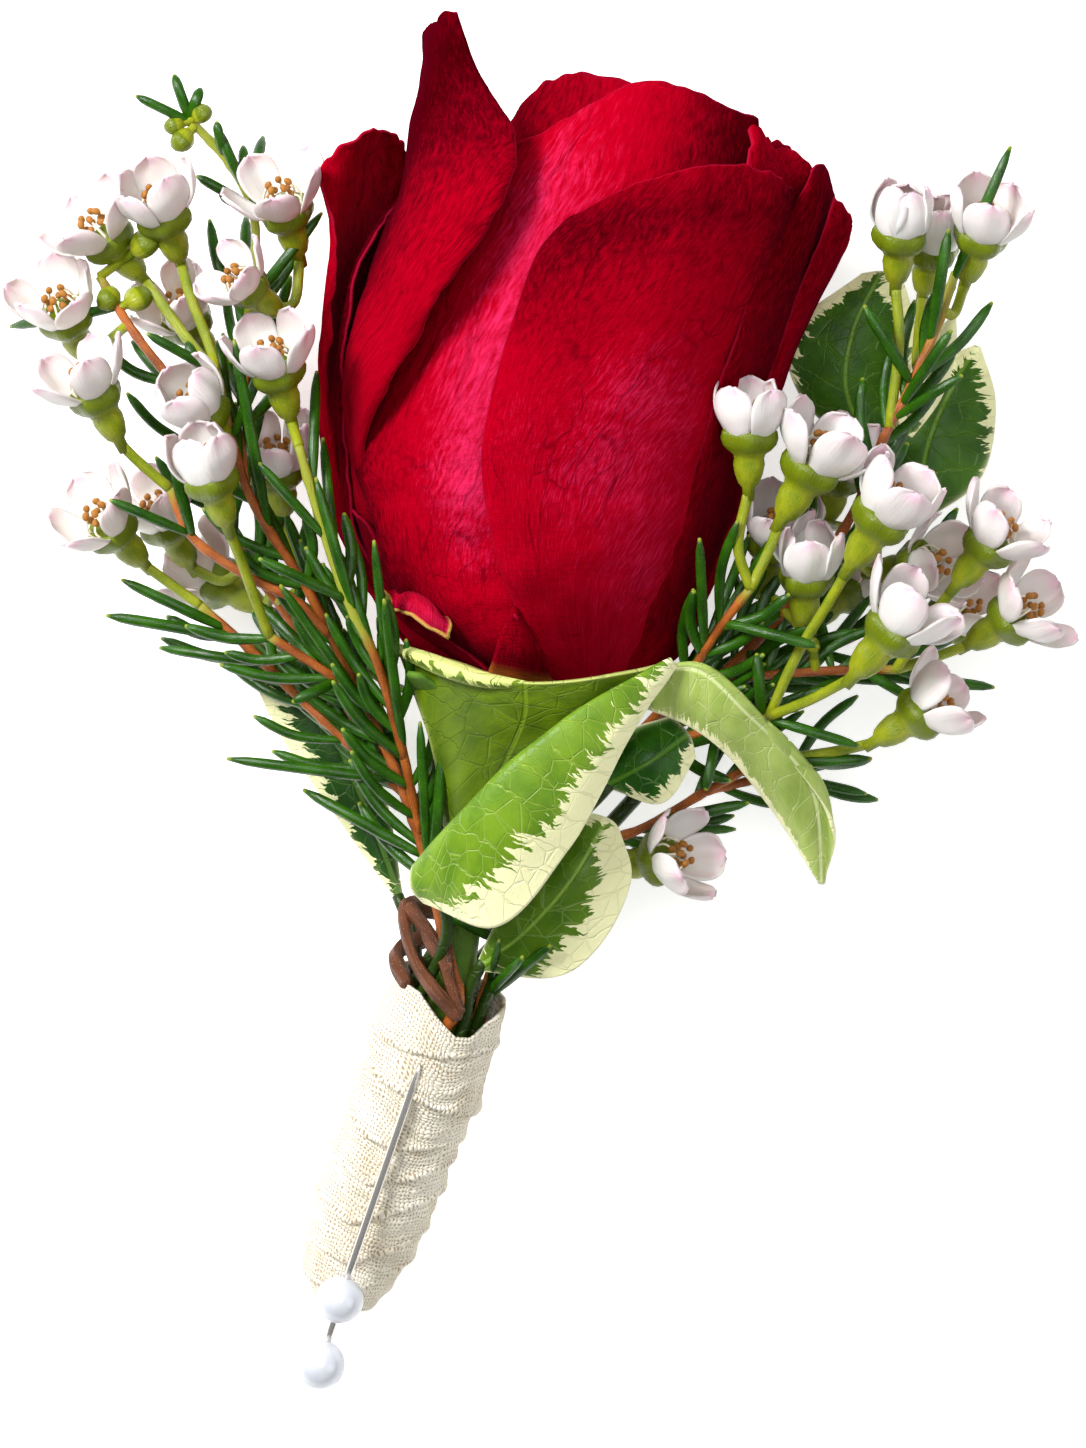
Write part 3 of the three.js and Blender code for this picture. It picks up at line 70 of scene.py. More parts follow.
# Each petal as ribs from foot to rim: x, y and the height over the bud's surface
FRONT_PETALS = {
    "petal_centre": [
        [[-3, 3, 0.2], [-9.6, 6.6, 0.8], [-13.2, 10.3, 1.4], [-15.9, 18, 1.9], [-17, 22.3, 1.6],
         [-13.5, 33, -0.6], [-8, 42, -0.6], [-3.3, 50, -0.4]],
        [[-1, 2, 0], [-6, 8, 0.4], [-9, 13, 0.5], [-9.6, 19, 0.5], [-9.4, 25, 0.4], [-6, 35, 0.1],
         [-2.4, 44, 0], [1.4, 52.4, -0.6]],
        [[2, 1.5, 0], [1, 8, 0], [0.6, 13, 0], [1, 19, 0], [2, 26, 0], [4.5, 36, 0.2],
         [6.6, 46, 0.4], [8.9, 56.2, 0.6]],
        [[6, 3, 0], [8.5, 9, 0], [10, 14, 0], [11, 20, 0], [12, 27, 0], [13.5, 36, 0], [14, 45, 0],
         [14.4, 54.7, -0.2]],
        [[9, 6, 0], [12, 10, 0], [14, 15, 0], [15, 21, 0], [17, 28, 0], [19.5, 36, 0],
         [20, 42, 0.3], [19.4, 52.6, 0.6]],
    ],
    "petal_right_front": [
        [[0.2, 3, 1.2], [-3.9, 12.7, 2.2], [-5.4, 21.7, 2.4], [-4.6, 27, 2.5], [-2.6, 34, 2.7],
         [-0.4, 40, 3], [2.2, 43, 3.2]],
        [[2.5, 2.3, 1.2], [0.4, 12, 1.8], [-0.4, 21, 2], [0.6, 27, 2.1], [3, 34, 2.3], [5, 40, 2.7],
         [8.4, 46.1, 3.4]],
        [[4.5, 2.4, 1.1], [5.2, 12, 1.7], [6.8, 21, 1.9], [8.2, 27, 2], [10.8, 34, 2.2],
         [13, 41, 2.5], [15.4, 48, 3.2]],
        [[6.3, 2.8, 1], [10.2, 12, 1.4], [12.8, 21, 1.7], [14.6, 27, 1.8], [17, 34, 2.1],
         [19, 41, 2.5], [20.3, 47.6, 3.1]],
        [[8.5, 5, 0.4], [13, 12, 0.8], [15.8, 21, 1], [17.6, 27, 1.1], [19.8, 34, 1.2],
         [21.6, 41, 1.4], [23.4, 45.6, 1.9]],
    ],
    "petal_right_side": [
        [[6.6, 3.6, 1.9], [10.6, 11.3, 2.4], [13.2, 18.1, 2.7], [15.9, 28, 3], [18.6, 36.2, 3.3],
         [21.4, 42.6, 3.7], [24.4, 47.8, 4.2]],
        [[10, 4, 1.6], [14, 12, 1.6], [16.6, 20, 1.6], [19.2, 29, 2], [22, 37, 2.4],
         [23.6, 42.6, 2.6], [25.1, 48.6, 2.8]],
        [[12, 5, -5], [15.4, 13, -5], [18.2, 21, -5], [20.6, 30, -4], [23.6, 38, -3],
         [25, 42.6, -2.4], [26.4, 46.6, -2]],
        [[10.5, 5, -13], [14.4, 13, -14], [17.2, 21, -14], [20.2, 31, -13], [23.4, 38, -12],
         [25, 42, -11], [26.4, 44, -10]],
    ],
    "petal_right_outer": [
        [[11, 6, -1], [15.6, 15, -1], [18, 22, -1], [21.2, 30.7, 0], [23.4, 37.8, 1],
         [26.6, 45.6, 2]],
        [[12.5, 6, -6], [16.6, 15, -6], [19.6, 23, -6], [22.4, 32, -5], [25.4, 38.6, -4],
         [28.2, 43.6, -3]],
        [[11, 6, -13], [15.4, 15, -15], [18.4, 23, -16], [21.4, 32, -15], [24.4, 38, -14],
         [27.4, 42, -12]],
    ],
    "petal_tall_left": [
        [[-9, 6, -12], [-15, 14, -10], [-16.4, 22, -9], [-16.2, 30, -7], [-14.8, 38, -5],
         [-12.6, 45, -3], [-11.6, 52, -1], [-10.9, 56, 1], [-10.6, 61, 4]],
        [[-10, 7, -5], [-16.8, 15, -5], [-18, 22, -4], [-17.8, 30, -1], [-15.6, 38, 2],
         [-12.6, 46, 5], [-11.2, 52, 6.4], [-10.3, 56, 7.4], [-10, 61.3, 7.4]],
        [[-9.4, 7.6, -2.4], [-15.8, 16, -1.8], [-17.2, 22, 0.4], [-15.6, 30, 4], [-11.6, 38, 6],
         [-8.4, 46, 7], [-8.2, 52, 7.6], [-8.8, 56.6, 8], [-9, 61.7, 8]],
        [[-8, 8.5, -2.4], [-13.6, 14.6, -2], [-16.5, 21, 0.6], [-13.9, 28.9, 4], [-8.2, 37.6, 5.6],
         [-3.2, 45.8, 5.6], [-2.7, 50.9, 5.6], [-5.6, 56.4, 7], [-7.9, 61.7, 8.4]],
    ],
    "petal_far_left": [
        [[-10, 5, -16], [-15.5, 12, -17], [-18, 24, -16], [-17, 36, -14], [-14.4, 44, -12],
         [-12, 49.4, -9]],
        [[-12, 6, -9], [-17.2, 13, -9], [-19.9, 24, -7], [-18.4, 36, -6], [-16.4, 44, -4],
         [-14.2, 52.2, -2]],
        [[-11.5, 7, -3], [-16.8, 14, -3], [-19.9, 25, -1], [-19.5, 35, 1.4], [-18.4, 43, 2.6],
         [-17.8, 50.6, 2.6]],
        [[-11, 8, -3.5], [-16.2, 15, -3], [-19.4, 25, -0.5], [-19.4, 34, 2], [-18.9, 42, 4],
         [-20.2, 48, 3]],
    ],
    "petal_low_left": [
        [[-4, 3, -1.2], [-8, 6, -0.9], [-11.8, 9.6, -0.6], [-15.6, 17, -0.4]],
        [[-6, 3.6, -1.6], [-10.6, 6.6, -1.4], [-14.6, 11, -1.2], [-17, 18.6, -1]],
        [[-7, 4, -5], [-12, 7.6, -6], [-16, 12, -7], [-18.2, 20, -7]],
    ],
    "petal_low_middle": [
        [[-5, 2.4, 1.0], [-4.1, 5.4, 1.3], [-2.9, 8.2, 1.5]],
        [[-2, 1.4, 1.3], [-2.1, 5.2, 1.7], [-2.5, 8.9, 1.8]],
        [[2.2, 1, 0.9], [0, 4.8, 1.2], [-2.1, 8.1, 1.4]],
    ],
    "petal_back_top": [
        [[-8, 22, -3], [-8.5, 34, -4], [-7, 44, -4], [-3.6, 52.6, -3.4]],
        [[-2, 22, -2], [-2.6, 34, -3], [-2, 46, -4], [0.6, 56.9, -5]],
        [[5, 22, -2], [5, 34, -3], [5.4, 46, -5], [5.4, 57.5, -7]],
        [[12, 22, -3], [12, 34, -4], [12, 46, -6], [11, 55.2, -8]],
    ],
    "petal_crumpled_tip": [
        [[12, 26, -3], [15, 38, -3], [16.8, 46, -3.4], [17.6, 51.6, -3.6]],
        [[16, 26, -4], [18.5, 38, -4], [19.8, 46, -4.4], [21, 51.2, -4.6]],
        [[19, 27, -7], [21, 37, -7], [22.6, 44, -7.4], [24.2, 49.4, -8]],
    ],
    "petal_crumpled_fold": [
        [[16, 30, 0.2], [18.6, 40, 0.2], [18.4, 46, 0.4], [19.4, 53, 0.8]],
        [[18, 30, 0.2], [20.4, 40, 0.2], [21, 46, 0.8], [22.6, 49.8, 1.4]],
        [[19, 31, -0.4], [21.8, 40, -0.3], [23, 45, 0.8], [25, 48.4, 1.8]],
    ],
    "petal_curled_tip": [
        [[-14.4, 10.3, 0.3], [-13.8, 9.9, 1.6], [-13.6, 9.3, 2.6], [-13.9, 8.8, 2.9]],
        [[-12.2, 10.6, 0.4], [-11.6, 9.9, 2], [-11.2, 8.9, 3.2], [-11.4, 8, 3.5]],
        [[-10.5, 9.8, 0.4], [-9.9, 9, 2], [-9.7, 7.9, 3.2], [-9.9, 7, 3.5]],
        [[-9.5, 8.3, 0.4], [-8.9, 7.7, 1.4], [-8.5, 7.1, 2.4], [-8.3, 6.4, 2.7]],
    ],
}
# Petals of the underside and the inside: middle angle, half span, rim height, layer, flare, foot
ROUND_PETALS = [
    (180, 62, 45, 1.13, 1.2, 2), (128, 44, 46, 1.06, 1.4, 2), (235, 46, 44, 1.07, 1.0, 2),
    (160, 60, 52, 0.95, 0.2, 2), (225, 55, 53, 0.86, 0, 30), (110, 55, 53, 0.76, 0, 32),
    (350, 65, 53, 0.56, 0, 34), (190, 70, 52, 0.36, 0, 38),
]


def spline(points, steps):
    """A smooth centripetal curve through the points, as steps + 1 points."""
    points = np.asarray(points, float)
    last = len(points) - 1
    padded = np.vstack([2 * points[0] - points[1], points, 2 * points[-1] - points[-2]])
    place = np.linspace(0, last, steps + 1)
    cell = np.minimum(place.astype(int), last - 1)
    w = (place - cell)[:, None]
    a, b, c, d = padded[cell], padded[cell + 1], padded[cell + 2], padded[cell + 3]

    def gap(p, q):
        return np.maximum(np.sum((p - q) ** 2, axis=1), 1e-8)[:, None] ** 0.25

    before, here, after = gap(a, b), gap(b, c), gap(c, d)
    start = ((b - a) / before - (c - a) / (before + here) + (c - b) / here) * here
    end = ((c - b) / here - (d - b) / (here + after) + (d - c) / after) * here
    square, cube = -3 * b + 3 * c - 2 * start - end, 2 * b - 2 * c + start + end
    return b + start * w + square * w**2 + cube * w**3


def surface(ribs, along, across):
    """A grid of points stretched over the ribs: [along + 1, across + 1, 3]."""
    lines = [spline(rib, along) for rib in ribs]
    return np.array([spline([line[j] for line in lines], across) for j in range(along + 1)])


def bud_lean(u):
    """How far the bud's middle leans aside at u millimetres above its base."""
    past = np.maximum(0, u - BUD_LEAN_START) / BUD_LEAN_LENGTH
    return BUD_LEAN * np.minimum(past * past, BUD_LEAN_MOST)


def rose_place(x, y):
    """A point seen from above as distance up the bloom's axis and distance beside it."""
    dx, dy = x - ROSE_BASE[0], y - ROSE_BASE[1]
    return dx * ROSE_WAY[0] + dy * ROSE_WAY[1], dx * ROSE_WAY[1] - dy * ROSE_WAY[0]


def on_axis(u, v, w):
    """The point u up the bloom's axis, v to its right and w above it."""
    return np.array([
        ROSE_BASE[0] + u * ROSE_WAY[0] + v * ROSE_WAY[1],
        ROSE_BASE[1] + u * ROSE_WAY[1] - v * ROSE_WAY[0],
        ROSE_BASE[2] + ROSE_RISE * u + w,
    ])


def around_bud(u, degrees, radius):
    angle = math.radians(degrees)
    return on_axis(u, bud_lean(u) + radius * math.sin(angle), ROSE_DEPTH * radius * math.cos(angle))


def over_bud(point):
    """The place of a drawn petal point: its height is added to that of the bud's surface."""
    x, y, lift = point
    u, v = rose_place(x, y)
    radius = np.interp(u, BUD_PROFILE[:, 0], BUD_PROFILE[:, 1])
    off = v - bud_lean(u)
    height = ROSE_DEPTH * math.sqrt(max(0.0, radius * radius - off * off))
    return np.array([x, y, ROSE_BASE[2] + ROSE_RISE * u + height + lift])


def with_foot(points):
    """A rib with one more point before it, drawn in towards the axis: the petal's hidden foot."""
    u, v = rose_place(points[0][0], points[0][1])
    depth = points[0][2] - on_axis(u, 0, 0)[2]
    is_low = u < LOW_PETAL
    drawn_in = 0.45 if is_low else 0.6
    foot = on_axis(FOOT_HEIGHT if is_low else u - 3, v * drawn_in, depth * drawn_in)
    return [foot, *points]


def round_petal(middle, half, rim, layer, flare, foot):
    """The ribs of a petal that wraps round the bud and opens a little at its rim."""
    ribs = []
    for side in (-1, -0.5, 0, 0.5, 1):
        rib = []
        for t in (0, 0.2, 0.45, 0.7, 0.88, 1):
            u = foot + (rim - RIM_FALL * side * side - foot) * t
            radius = layer * np.interp(u, BUD_PROFILE[:, 0], BUD_PROFILE[:, 1]) + flare * t**4
            rib.append(around_bud(u, middle + side * half * (0.55 + 0.45 * math.sqrt(t)), radius))
        ribs.append(rib)
    return ribs


def normals_of(grid):
    along = np.gradient(grid, axis=0)
    across = np.gradient(grid, axis=1)
    normal = np.cross(across, along)
    return normal / np.maximum(np.linalg.norm(normal, axis=2, keepdims=True), 1e-9)


def noise_grid(grid, size, seed, stretch=(1, 1, 1)):
    """Smooth noise from -1 to 1 at each point of a grid; size is the width of its waves."""
    flat = grid.reshape(-1, 3) * np.array(stretch) / size + seed * 17.31
    return np.array([noise.noise(Vector(p)) for p in flat]).reshape(grid.shape[:-1])


def new_piece(name, finish, vertices, faces, uvs, values=None):
    """A mesh object from points in millimetres, with UVs and named values per vertex."""
    mesh = bpy.data.meshes.new(name)
    corners = [tuple(map(int, face)) for face in faces]
    mesh.from_pydata(((np.asarray(vertices) + SHIFT) * MM).tolist(), [], corners)
    used = np.zeros(len(mesh.loops), int)
    mesh.loops.foreach_get("vertex_index", used)
    layer = mesh.uv_layers.new(name="UVMap")
    layer.data.foreach_set("uv", np.asarray(uvs, float)[used].ravel())
    for label, numbers in (values or {}).items():
        made = mesh.attributes.new(label, "FLOAT", "POINT")
        made.data.foreach_set("value", np.asarray(numbers, float).ravel())
    mesh.polygons.foreach_set("use_smooth", [True] * len(mesh.polygons))
    mesh.validate()
    mesh.materials.append(finish)
    piece = bpy.data.objects.new(name, mesh)
    bpy.context.scene.collection.objects.link(piece)
    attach(piece, "root")
    return piece


def sheet_arrays(grid, thickness, width, length):
    """A thin closed sheet over a grid: points, faces, UVs and distance to the rim."""
    rows, columns = grid.shape[0], grid.shape[1]
    normal = normals_of(grid)
    half = np.broadcast_to(np.asarray(thickness, float) / 2, (rows, columns))[..., None]
    top, bottom = grid + normal * half, grid - normal * half
    i, j = np.meshgrid(np.arange(columns - 1), np.arange(rows - 1))
    a = (j * columns + i).ravel()
    quads = np.stack([a, a + 1, a + columns + 1, a + columns], axis=1)
    under = rows * columns
    edge = np.concatenate([
        np.arange(columns - 1),
        np.arange(rows - 1) * columns + columns - 1,
        (rows - 1) * columns + np.arange(columns - 1, 0, -1),
        np.arange(rows - 1, 0, -1) * columns,
    ])
    ahead = np.roll(edge, -1)
    wall = np.stack([edge, under + edge, under + ahead, ahead], axis=1)
    across, along = np.meshgrid(np.linspace(0, 1, columns), np.linspace(0, 1, rows))
    uv = np.stack([across * width, along * length], axis=-1).reshape(-1, 2)
    side = np.minimum(across, 1 - across) * width
    rim = np.minimum(side, (1 - along) * length).ravel()
    return (
        np.vstack([top.reshape(-1, 3), bottom.reshape(-1, 3)]),
        np.vstack([quads, under + quads[:, ::-1], wall]),
        np.vstack([uv, uv]),
        np.concatenate([rim, rim]),
    )


def merged(parts):
    """Several sets of points, faces and what goes with each point, as one set."""
    faces, offset = [], 0
    for part_points, part_faces, *_ in parts:
        faces.extend((np.asarray(f) + offset).tolist() for f in part_faces)
        offset += len(part_points)
    points, _, *columns = zip(*parts)
    return np.vstack(points), faces, *map(np.concatenate, columns)


def rise_and_side(rows, columns):
    """For the points of a petal: the share from foot to rim, and from its middle to a side."""
    return np.linspace(0, 1, rows)[:, None], np.abs(np.linspace(-1, 1, columns))[None, :]


def length_of(line):
    return np.linalg.norm(np.diff(line, axis=0), axis=1).sum()


def petal_grid(ribs, along, across, seed, wrinkle, frill=0.5):
    """A petal's sheet with creases near its foot, slow waves over it and a ragged, rolled rim."""
    grid = surface(ribs, along, across)
    normal = normals_of(grid)
    rise, side = rise_and_side(along + 1, across + 1)
    rim = np.maximum(rise**16, side**12)
    folds = noise_grid(grid, 2.2, seed, (0.3, 1, 0.3)) * wrinkle * (1 - rise) ** 1.3
    folds += noise_grid(grid, 0.9, seed + 2, (0.4, 1, 0.4)) * wrinkle * 0.35 * (1 - rise)
    waves = noise_grid(grid, 8.0, seed + 3) * 0.4 + noise_grid(grid, 3.0, seed + 4) * 0.1
    rag = noise_grid(grid, 1.6, seed + 5) * 0.4 * frill
    rag += noise_grid(grid, 4.0, seed + 6) * 0.7 * frill
    inward = np.zeros_like(grid)
    inward[1:] = grid[1:] - grid[:-1]
    inward /= np.maximum(np.linalg.norm(inward, axis=2, keepdims=True), 1e-9)
    grid = grid + normal * (folds + waves + rag * rim - 0.5 * rim**2)[..., None]
    notches = (noise_grid(grid, 1.3, seed + 7) - 0.3) * 0.7 * frill * rise**10
    return grid + inward * notches[..., None]


def petal_thickness(rows, columns):
    """Full thickness over the petal and half of it at the very rim."""
    rise, side = rise_and_side(rows, columns)
    edge = np.maximum(rise**24, side**24)
    return PETAL_THICKNESS * (1 - 0.5 * edge)


def wire(tree, made, inputs):
    """A node's inputs, each set to a value or linked to where it comes from."""
    for label, value in inputs.items():
        if isinstance(value, bpy.types.NodeSocket):
            tree.links.new(value, made.inputs[label])
        else:
            made.inputs[label].default_value = value


def node(tree, kind, inputs=None, **settings):
    made = tree.nodes.new(kind)
    for label, value in settings.items():
        setattr(made, label, value)
    wire(tree, made, inputs or {})
    return made


def calc(tree, operation, a, b=0.0, clamp=False):
    made = node(tree, "ShaderNodeMath", {0: a, 1: b}, operation=operation, use_clamp=clamp)
    return made.outputs[0]


def plus(tree, a, b, clamp=False):
    return calc(tree, "ADD", a, b, clamp)


def times(tree, a, b):
    return calc(tree, "MULTIPLY", a, b)


def vector_sum(tree, a, b):
    return node(tree, "ShaderNodeVectorMath", {0: a, 1: b}, operation="ADD").outputs[0]


def stretched(tree, vector, factor):
    made = node(tree, "ShaderNodeVectorMath", {0: vector, "Scale": factor}, operation="SCALE")
    return made.outputs[0]


def blend(tree, share, a, b):
    return node(tree, "ShaderNodeMix", {0: share, 6: a, 7: b}, data_type="RGBA").outputs[2]


def steps_of(tree, value, low, high, to_low=0.0, to_high=1.0):
    """Value moved smoothly from the range low..high to to_low..to_high."""
    return node(tree, "ShaderNodeMapRange", {
        "Value": value, "From Min": low, "From Max": high, "To Min": to_low, "To Max": to_high,
    }, interpolation_type="SMOOTHSTEP").outputs[0]


def scaled(tree, vector, scale):
    return node(tree, "ShaderNodeMapping", {"Vector": vector, "Scale": scale}).outputs[0]


def noise_of(tree, vector, scale, detail=3.0, rough=0.5):
    return node(tree, "ShaderNodeTexNoise", {
        "Vector": vector, "Scale": scale, "Detail": detail, "Roughness": rough,
    }).outputs[0]


def edge_net(tree, vector, scale):
    """Distance to the border of the nearest cell in a net of cells."""
    made = node(tree, "ShaderNodeTexVoronoi", {"Vector": vector, "Scale": scale},
                feature="DISTANCE_TO_EDGE")
    return made.outputs[0]


def uv_place(tree):
    return node(tree, "ShaderNodeUVMap", uv_map="UVMap").outputs[0]


def carried(tree, label):
    """What each point of the mesh carries under a name, such as "tone"."""
    return node(tree, "ShaderNodeAttribute", attribute_name=label).outputs["Fac"]


def bumped(tree, shader, height, strength, distance):
    bump = node(tree, "ShaderNodeBump", {
        "Height": height, "Strength": strength, "Distance": distance,
    })
    wire(tree, shader, {"Normal": bump.outputs[0]})


def new_group(name, values, results):
    """A node group that takes a place and named values: the tree, what comes in, what goes out."""
    tree = bpy.data.node_groups.new(name, "ShaderNodeTree")
    tree.interface.new_socket(name="Place", in_out="INPUT", socket_type="NodeSocketVector")
    for label, value in values.items():
        made = tree.interface.new_socket(name=label, in_out="INPUT", socket_type="NodeSocketFloat")
        made.default_value = value
    for label in results:
        tree.interface.new_socket(name=label, in_out="OUTPUT", socket_type="NodeSocketFloat")
    given = tree.nodes.new("NodeGroupInput").outputs
    return tree, given, tree.nodes.new("NodeGroupOutput")


def placed(tree, group, inputs):
    made = node(tree, "ShaderNodeGroup", node_tree=group)
    wire(tree, made, inputs)
    return made.outputs


def new_material(name, **sockets):
    """A material with its Principled shader and the values that are the same all over it."""
    material = bpy.data.materials.new(name)
    material.use_nodes = True
    tree = material.node_tree
    shader = tree.nodes["Principled BSDF"]
    for label, value in sockets.items():
        shader.inputs[label.replace("_", " ")].default_value = value
    return material, tree, shader


def colour(red, green, blue):
    """An 8-bit screen colour as linear light."""
    def linear(c):
        c /= 255
        return c / 12.92 if c <= 0.04045 else ((c + 0.055) / 1.055) ** 2.4
    return (linear(red), linear(green), linear(blue), 1.0)


# Veins that fan out from a foot: a net of long narrow cells, bent a little, that shows up in
# some places and fades in others, and fine fibre between the veins
tree, given, result = new_group(
    "fanned_veins", {"Spacing": 2.2, "Seed": 0.0}, ["Veins", "Fibre"])
split = node(tree, "ShaderNodeSeparateXYZ", {0: given["Place"]})
away = plus(tree, split.outputs[1], 14.0)
fanned = times(tree, calc(tree, "DIVIDE", split.outputs[0], away), 46.0)
seeded = node(tree, "ShaderNodeCombineXYZ", {
    "X": fanned, "Y": split.outputs[1], "Z": given["Seed"],
})
bend = node(tree, "ShaderNodeTexNoise", {"Vector": given["Place"], "Scale": 0.16, "Detail": 2.0})
moved = vector_sum(tree, seeded.outputs[0], stretched(tree, bend.outputs[1], 2.2))
over = calc(tree, "DIVIDE", 1.0, given["Spacing"])
lines = []
for across, along, width, share in ((0.85, 0.14, 0.045, 1.0), (1.9, 0.36, 0.07, 0.55)):
    cells = node(tree, "ShaderNodeCombineXYZ", {
        "X": times(tree, over, across), "Y": times(tree, over, along), "Z": 1.0,
    })
    drawn_out = node(tree, "ShaderNodeVectorMath", {0: moved, 1: cells.outputs[0]},
                     operation="MULTIPLY")
    net = edge_net(tree, drawn_out.outputs[0], 1.0)
    lines.append(times(tree, steps_of(tree, net, 0.0, width, 1.0, 0.0), share))
both = calc(tree, "MAXIMUM", lines[0], lines[1])
patchy = steps_of(tree, noise_of(tree, moved, 0.11), 0.35, 0.65)
fibre = noise_of(tree, scaled(tree, moved, (3.4, 0.8, 1.0)), 1.0, 4.0, 0.66)
wire(tree, result, {"Veins": times(tree, both, patchy), "Fibre": fibre})
vein_group = tree

# Petal velvet: tiny cells that catch the light, painted as pale pink glints where they stand
# highest, and soft creases across the petal
tree, given, result = new_group("petal_velvet", {"Foot": 0.0}, ["Height", "PaintedGlint"])
bumps = noise_of(tree, given["Place"], 3.2, 3.0, 0.6)
crease = noise_of(tree, scaled(tree, given["Place"], (0.5, 2.6, 1.0)), 1.0, 4.0, 0.62)
share = plus(tree, 0.5, times(tree, given["Foot"], 1.4))
height = plus(tree, times(tree, crease, share), times(tree, bumps, 0.35))
wire(tree, result, {"Height": height, "PaintedGlint": steps_of(tree, bumps, 0.62, 0.75)})
velvet_group = tree

RIM_WIDTH = 0.2


def rose_material(name, seed, foot_colour=None, rim_colour=colour(190, 24, 60), rim_share=0.5):
    """Rose velvet. "tone" is painted light and shade: it runs from -1, a deep crimson painted
    shade, over 0, full red, to 1, a pink painted highlight.
    """
    material, tree, shader = new_material(
        name, Specular_IOR_Level=0.0, Sheen_Weight=0.05, Sheen_Roughness=0.4,
        Sheen_Tint=(1.0, 0.06, 0.2, 1.0),
    )
    place = uv_place(tree)
    rim = steps_of(tree, carried(tree, "edge"), 0.0, RIM_WIDTH, 1.0, 0.0)
    from_foot = node(tree, "ShaderNodeSeparateXYZ", {0: place}).outputs[1]
    foot = steps_of(tree, from_foot, 4.0, 30.0, 1.0, 0.0)
    veins = placed(tree, vein_group, {"Place": place, "Spacing": 2.6, "Seed": seed})
    velvet = placed(tree, velvet_group, {"Place": place, "Foot": foot})
    cloud = calc(tree, "SUBTRACT", noise_of(tree, place, 0.09, 3.0), 0.5)
    grained = times(tree, calc(tree, "SUBTRACT", veins["Fibre"], 0.5), 1.7)
    painted_shade_and_mottle = plus(tree, plus(tree, carried(tree, "tone"), times(tree, cloud, 0.9)), grained)
    # Painted shade and highlight: deep crimson where tone and mottling are low, full red between,
    # and a pink painted highlight where they are high
    skin = blend(tree, steps_of(tree, painted_shade_and_mottle, -1.1, 0.25), colour(70, 0, 8), colour(166, 0, 25))
    skin = blend(tree, steps_of(tree, painted_shade_and_mottle, 0.15, 1.25), skin, colour(226, 42, 96))
    skin = blend(tree, times(tree, veins["Veins"], 0.5), skin, colour(52, 0, 8))
    # Pale pink painted glints on the velvet's highest cells
    skin = blend(tree, times(tree, velvet["PaintedGlint"], 0.16), skin, colour(206, 40, 80))
    # A lighter painted highlight along each petal's rim in the default rim colour; the curled tip's
    # yellow-green rim is its own colour
    skin = blend(tree, times(tree, rim, rim_share), skin, rim_colour)
    if foot_colour:
        skin = blend(tree, steps_of(tree, from_foot, 1.6, 3.8, 0.9, 0.0), skin, foot_colour)
    rough = plus(tree, 0.46, times(tree, veins["Fibre"], 0.2))
    wire(tree, shader, {"Base Color": skin, "Roughness": rough})
    raised = plus(tree, velvet["Height"], times(tree, veins["Veins"], -0.3))
    raised = plus(tree, raised, times(tree, veins["Fibre"], 0.8))
    bumped(tree, shader, raised, 0.5, 0.00025)
    return material


rose_finish = rose_material("rose_velvet", 1.0)
rose_foot_finish = rose_material("rose_velvet_yellow_foot", 3.0, colour(190, 110, 40))
rose_tip_finish = rose_material("rose_velvet_curled", 4.0, None, colour(196, 180, 84), 0.7)
# Painted light and shade of each petal, as tone at shares of its breadth from the left, then of its
# height from the foot: darker where the petal turns from the light, pink where it catches it
PAINTED_PETAL_SHADING = {
    "petal_centre": ([(0, -0.8), (0.15, 0), (0.32, 0.62), (0.5, 0.2), (0.75, -0.45), (1, -1.1)],
                     [(0, -0.8), (0.3, -0.5), (0.5, 0), (0.8, 0.05), (1, -0.15)]),
    "petal_right_front": ([(0, 0), (0.17, 0.1), (0.45, 0.3), (0.7, 0.3), (1, -0.4)],
                          [(0, -0.3), (0.2, 0), (0.45, 0.1), (0.62, 0), (0.8, -0.5), (0.92, -0.8),
                           (1, -0.6)]),
    "petal_right_side": ([(0, -0.5), (1, -1)], [(0, 0), (1, -0.1)]),
    "petal_right_outer": ([(0, -0.4), (1, -0.8)], [(0, 0), (1, 0)]),
    "petal_tall_left": ([(0, -0.9), (0.3, -0.8), (0.45, -0.2), (0.8, 0), (1, -0.05)],
                        [(0, -0.4), (0.3, -0.1), (0.48, 0), (0.6, -0.25), (0.72, -0.55),
                         (0.88, -0.85), (1, -0.8)]),
    "petal_far_left": ([(0, -0.35), (0.5, -0.1), (1, -0.1)], [(0, 0), (1, 0)]),
    "petal_low_left": ([(0, -0.5), (1, -0.9)], [(0, 0), (1, 0)]),
    "petal_low_middle": ([(0, -0.2), (1, -0.5)], [(0, 0), (1, 0)]),
    "petal_back_top": ([(0, -0.6), (1, -0.2)], [(0, 0), (1, 0.1)]),
    "petal_crumpled_tip": ([(0, -0.5), (1, -0.9)], [(0, 0), (1, 0.2)]),
    "petal_crumpled_fold": ([(0, -0.5), (1, -0.7)], [(0, 0), (1, 0.2)]),
    "petal_curled_tip": ([(0, 0.3), (1, 0.6)], [(0, 0), (1, 0.2)]),
}
PETAL_GRIDS = {
    "petal_centre": (110, 90, 0.5), "petal_right_front": (110, 90, 0.35),
    "petal_right_side": (80, 50, 0.3),
    "petal_right_outer": (70, 40, 0.2), "petal_tall_left": (120, 60, 0.3),
    "petal_far_left": (90, 60, 0.3),
    "petal_low_left": (50, 40, 0.25), "petal_low_middle": (30, 30, 0.1),
    "petal_back_top": (60, 60, 0.2),
    "petal_crumpled_tip": (50, 40, 0.2), "petal_crumpled_fold": (60, 40, 0.2),
    "petal_curled_tip": (30, 30, 0.1),
}
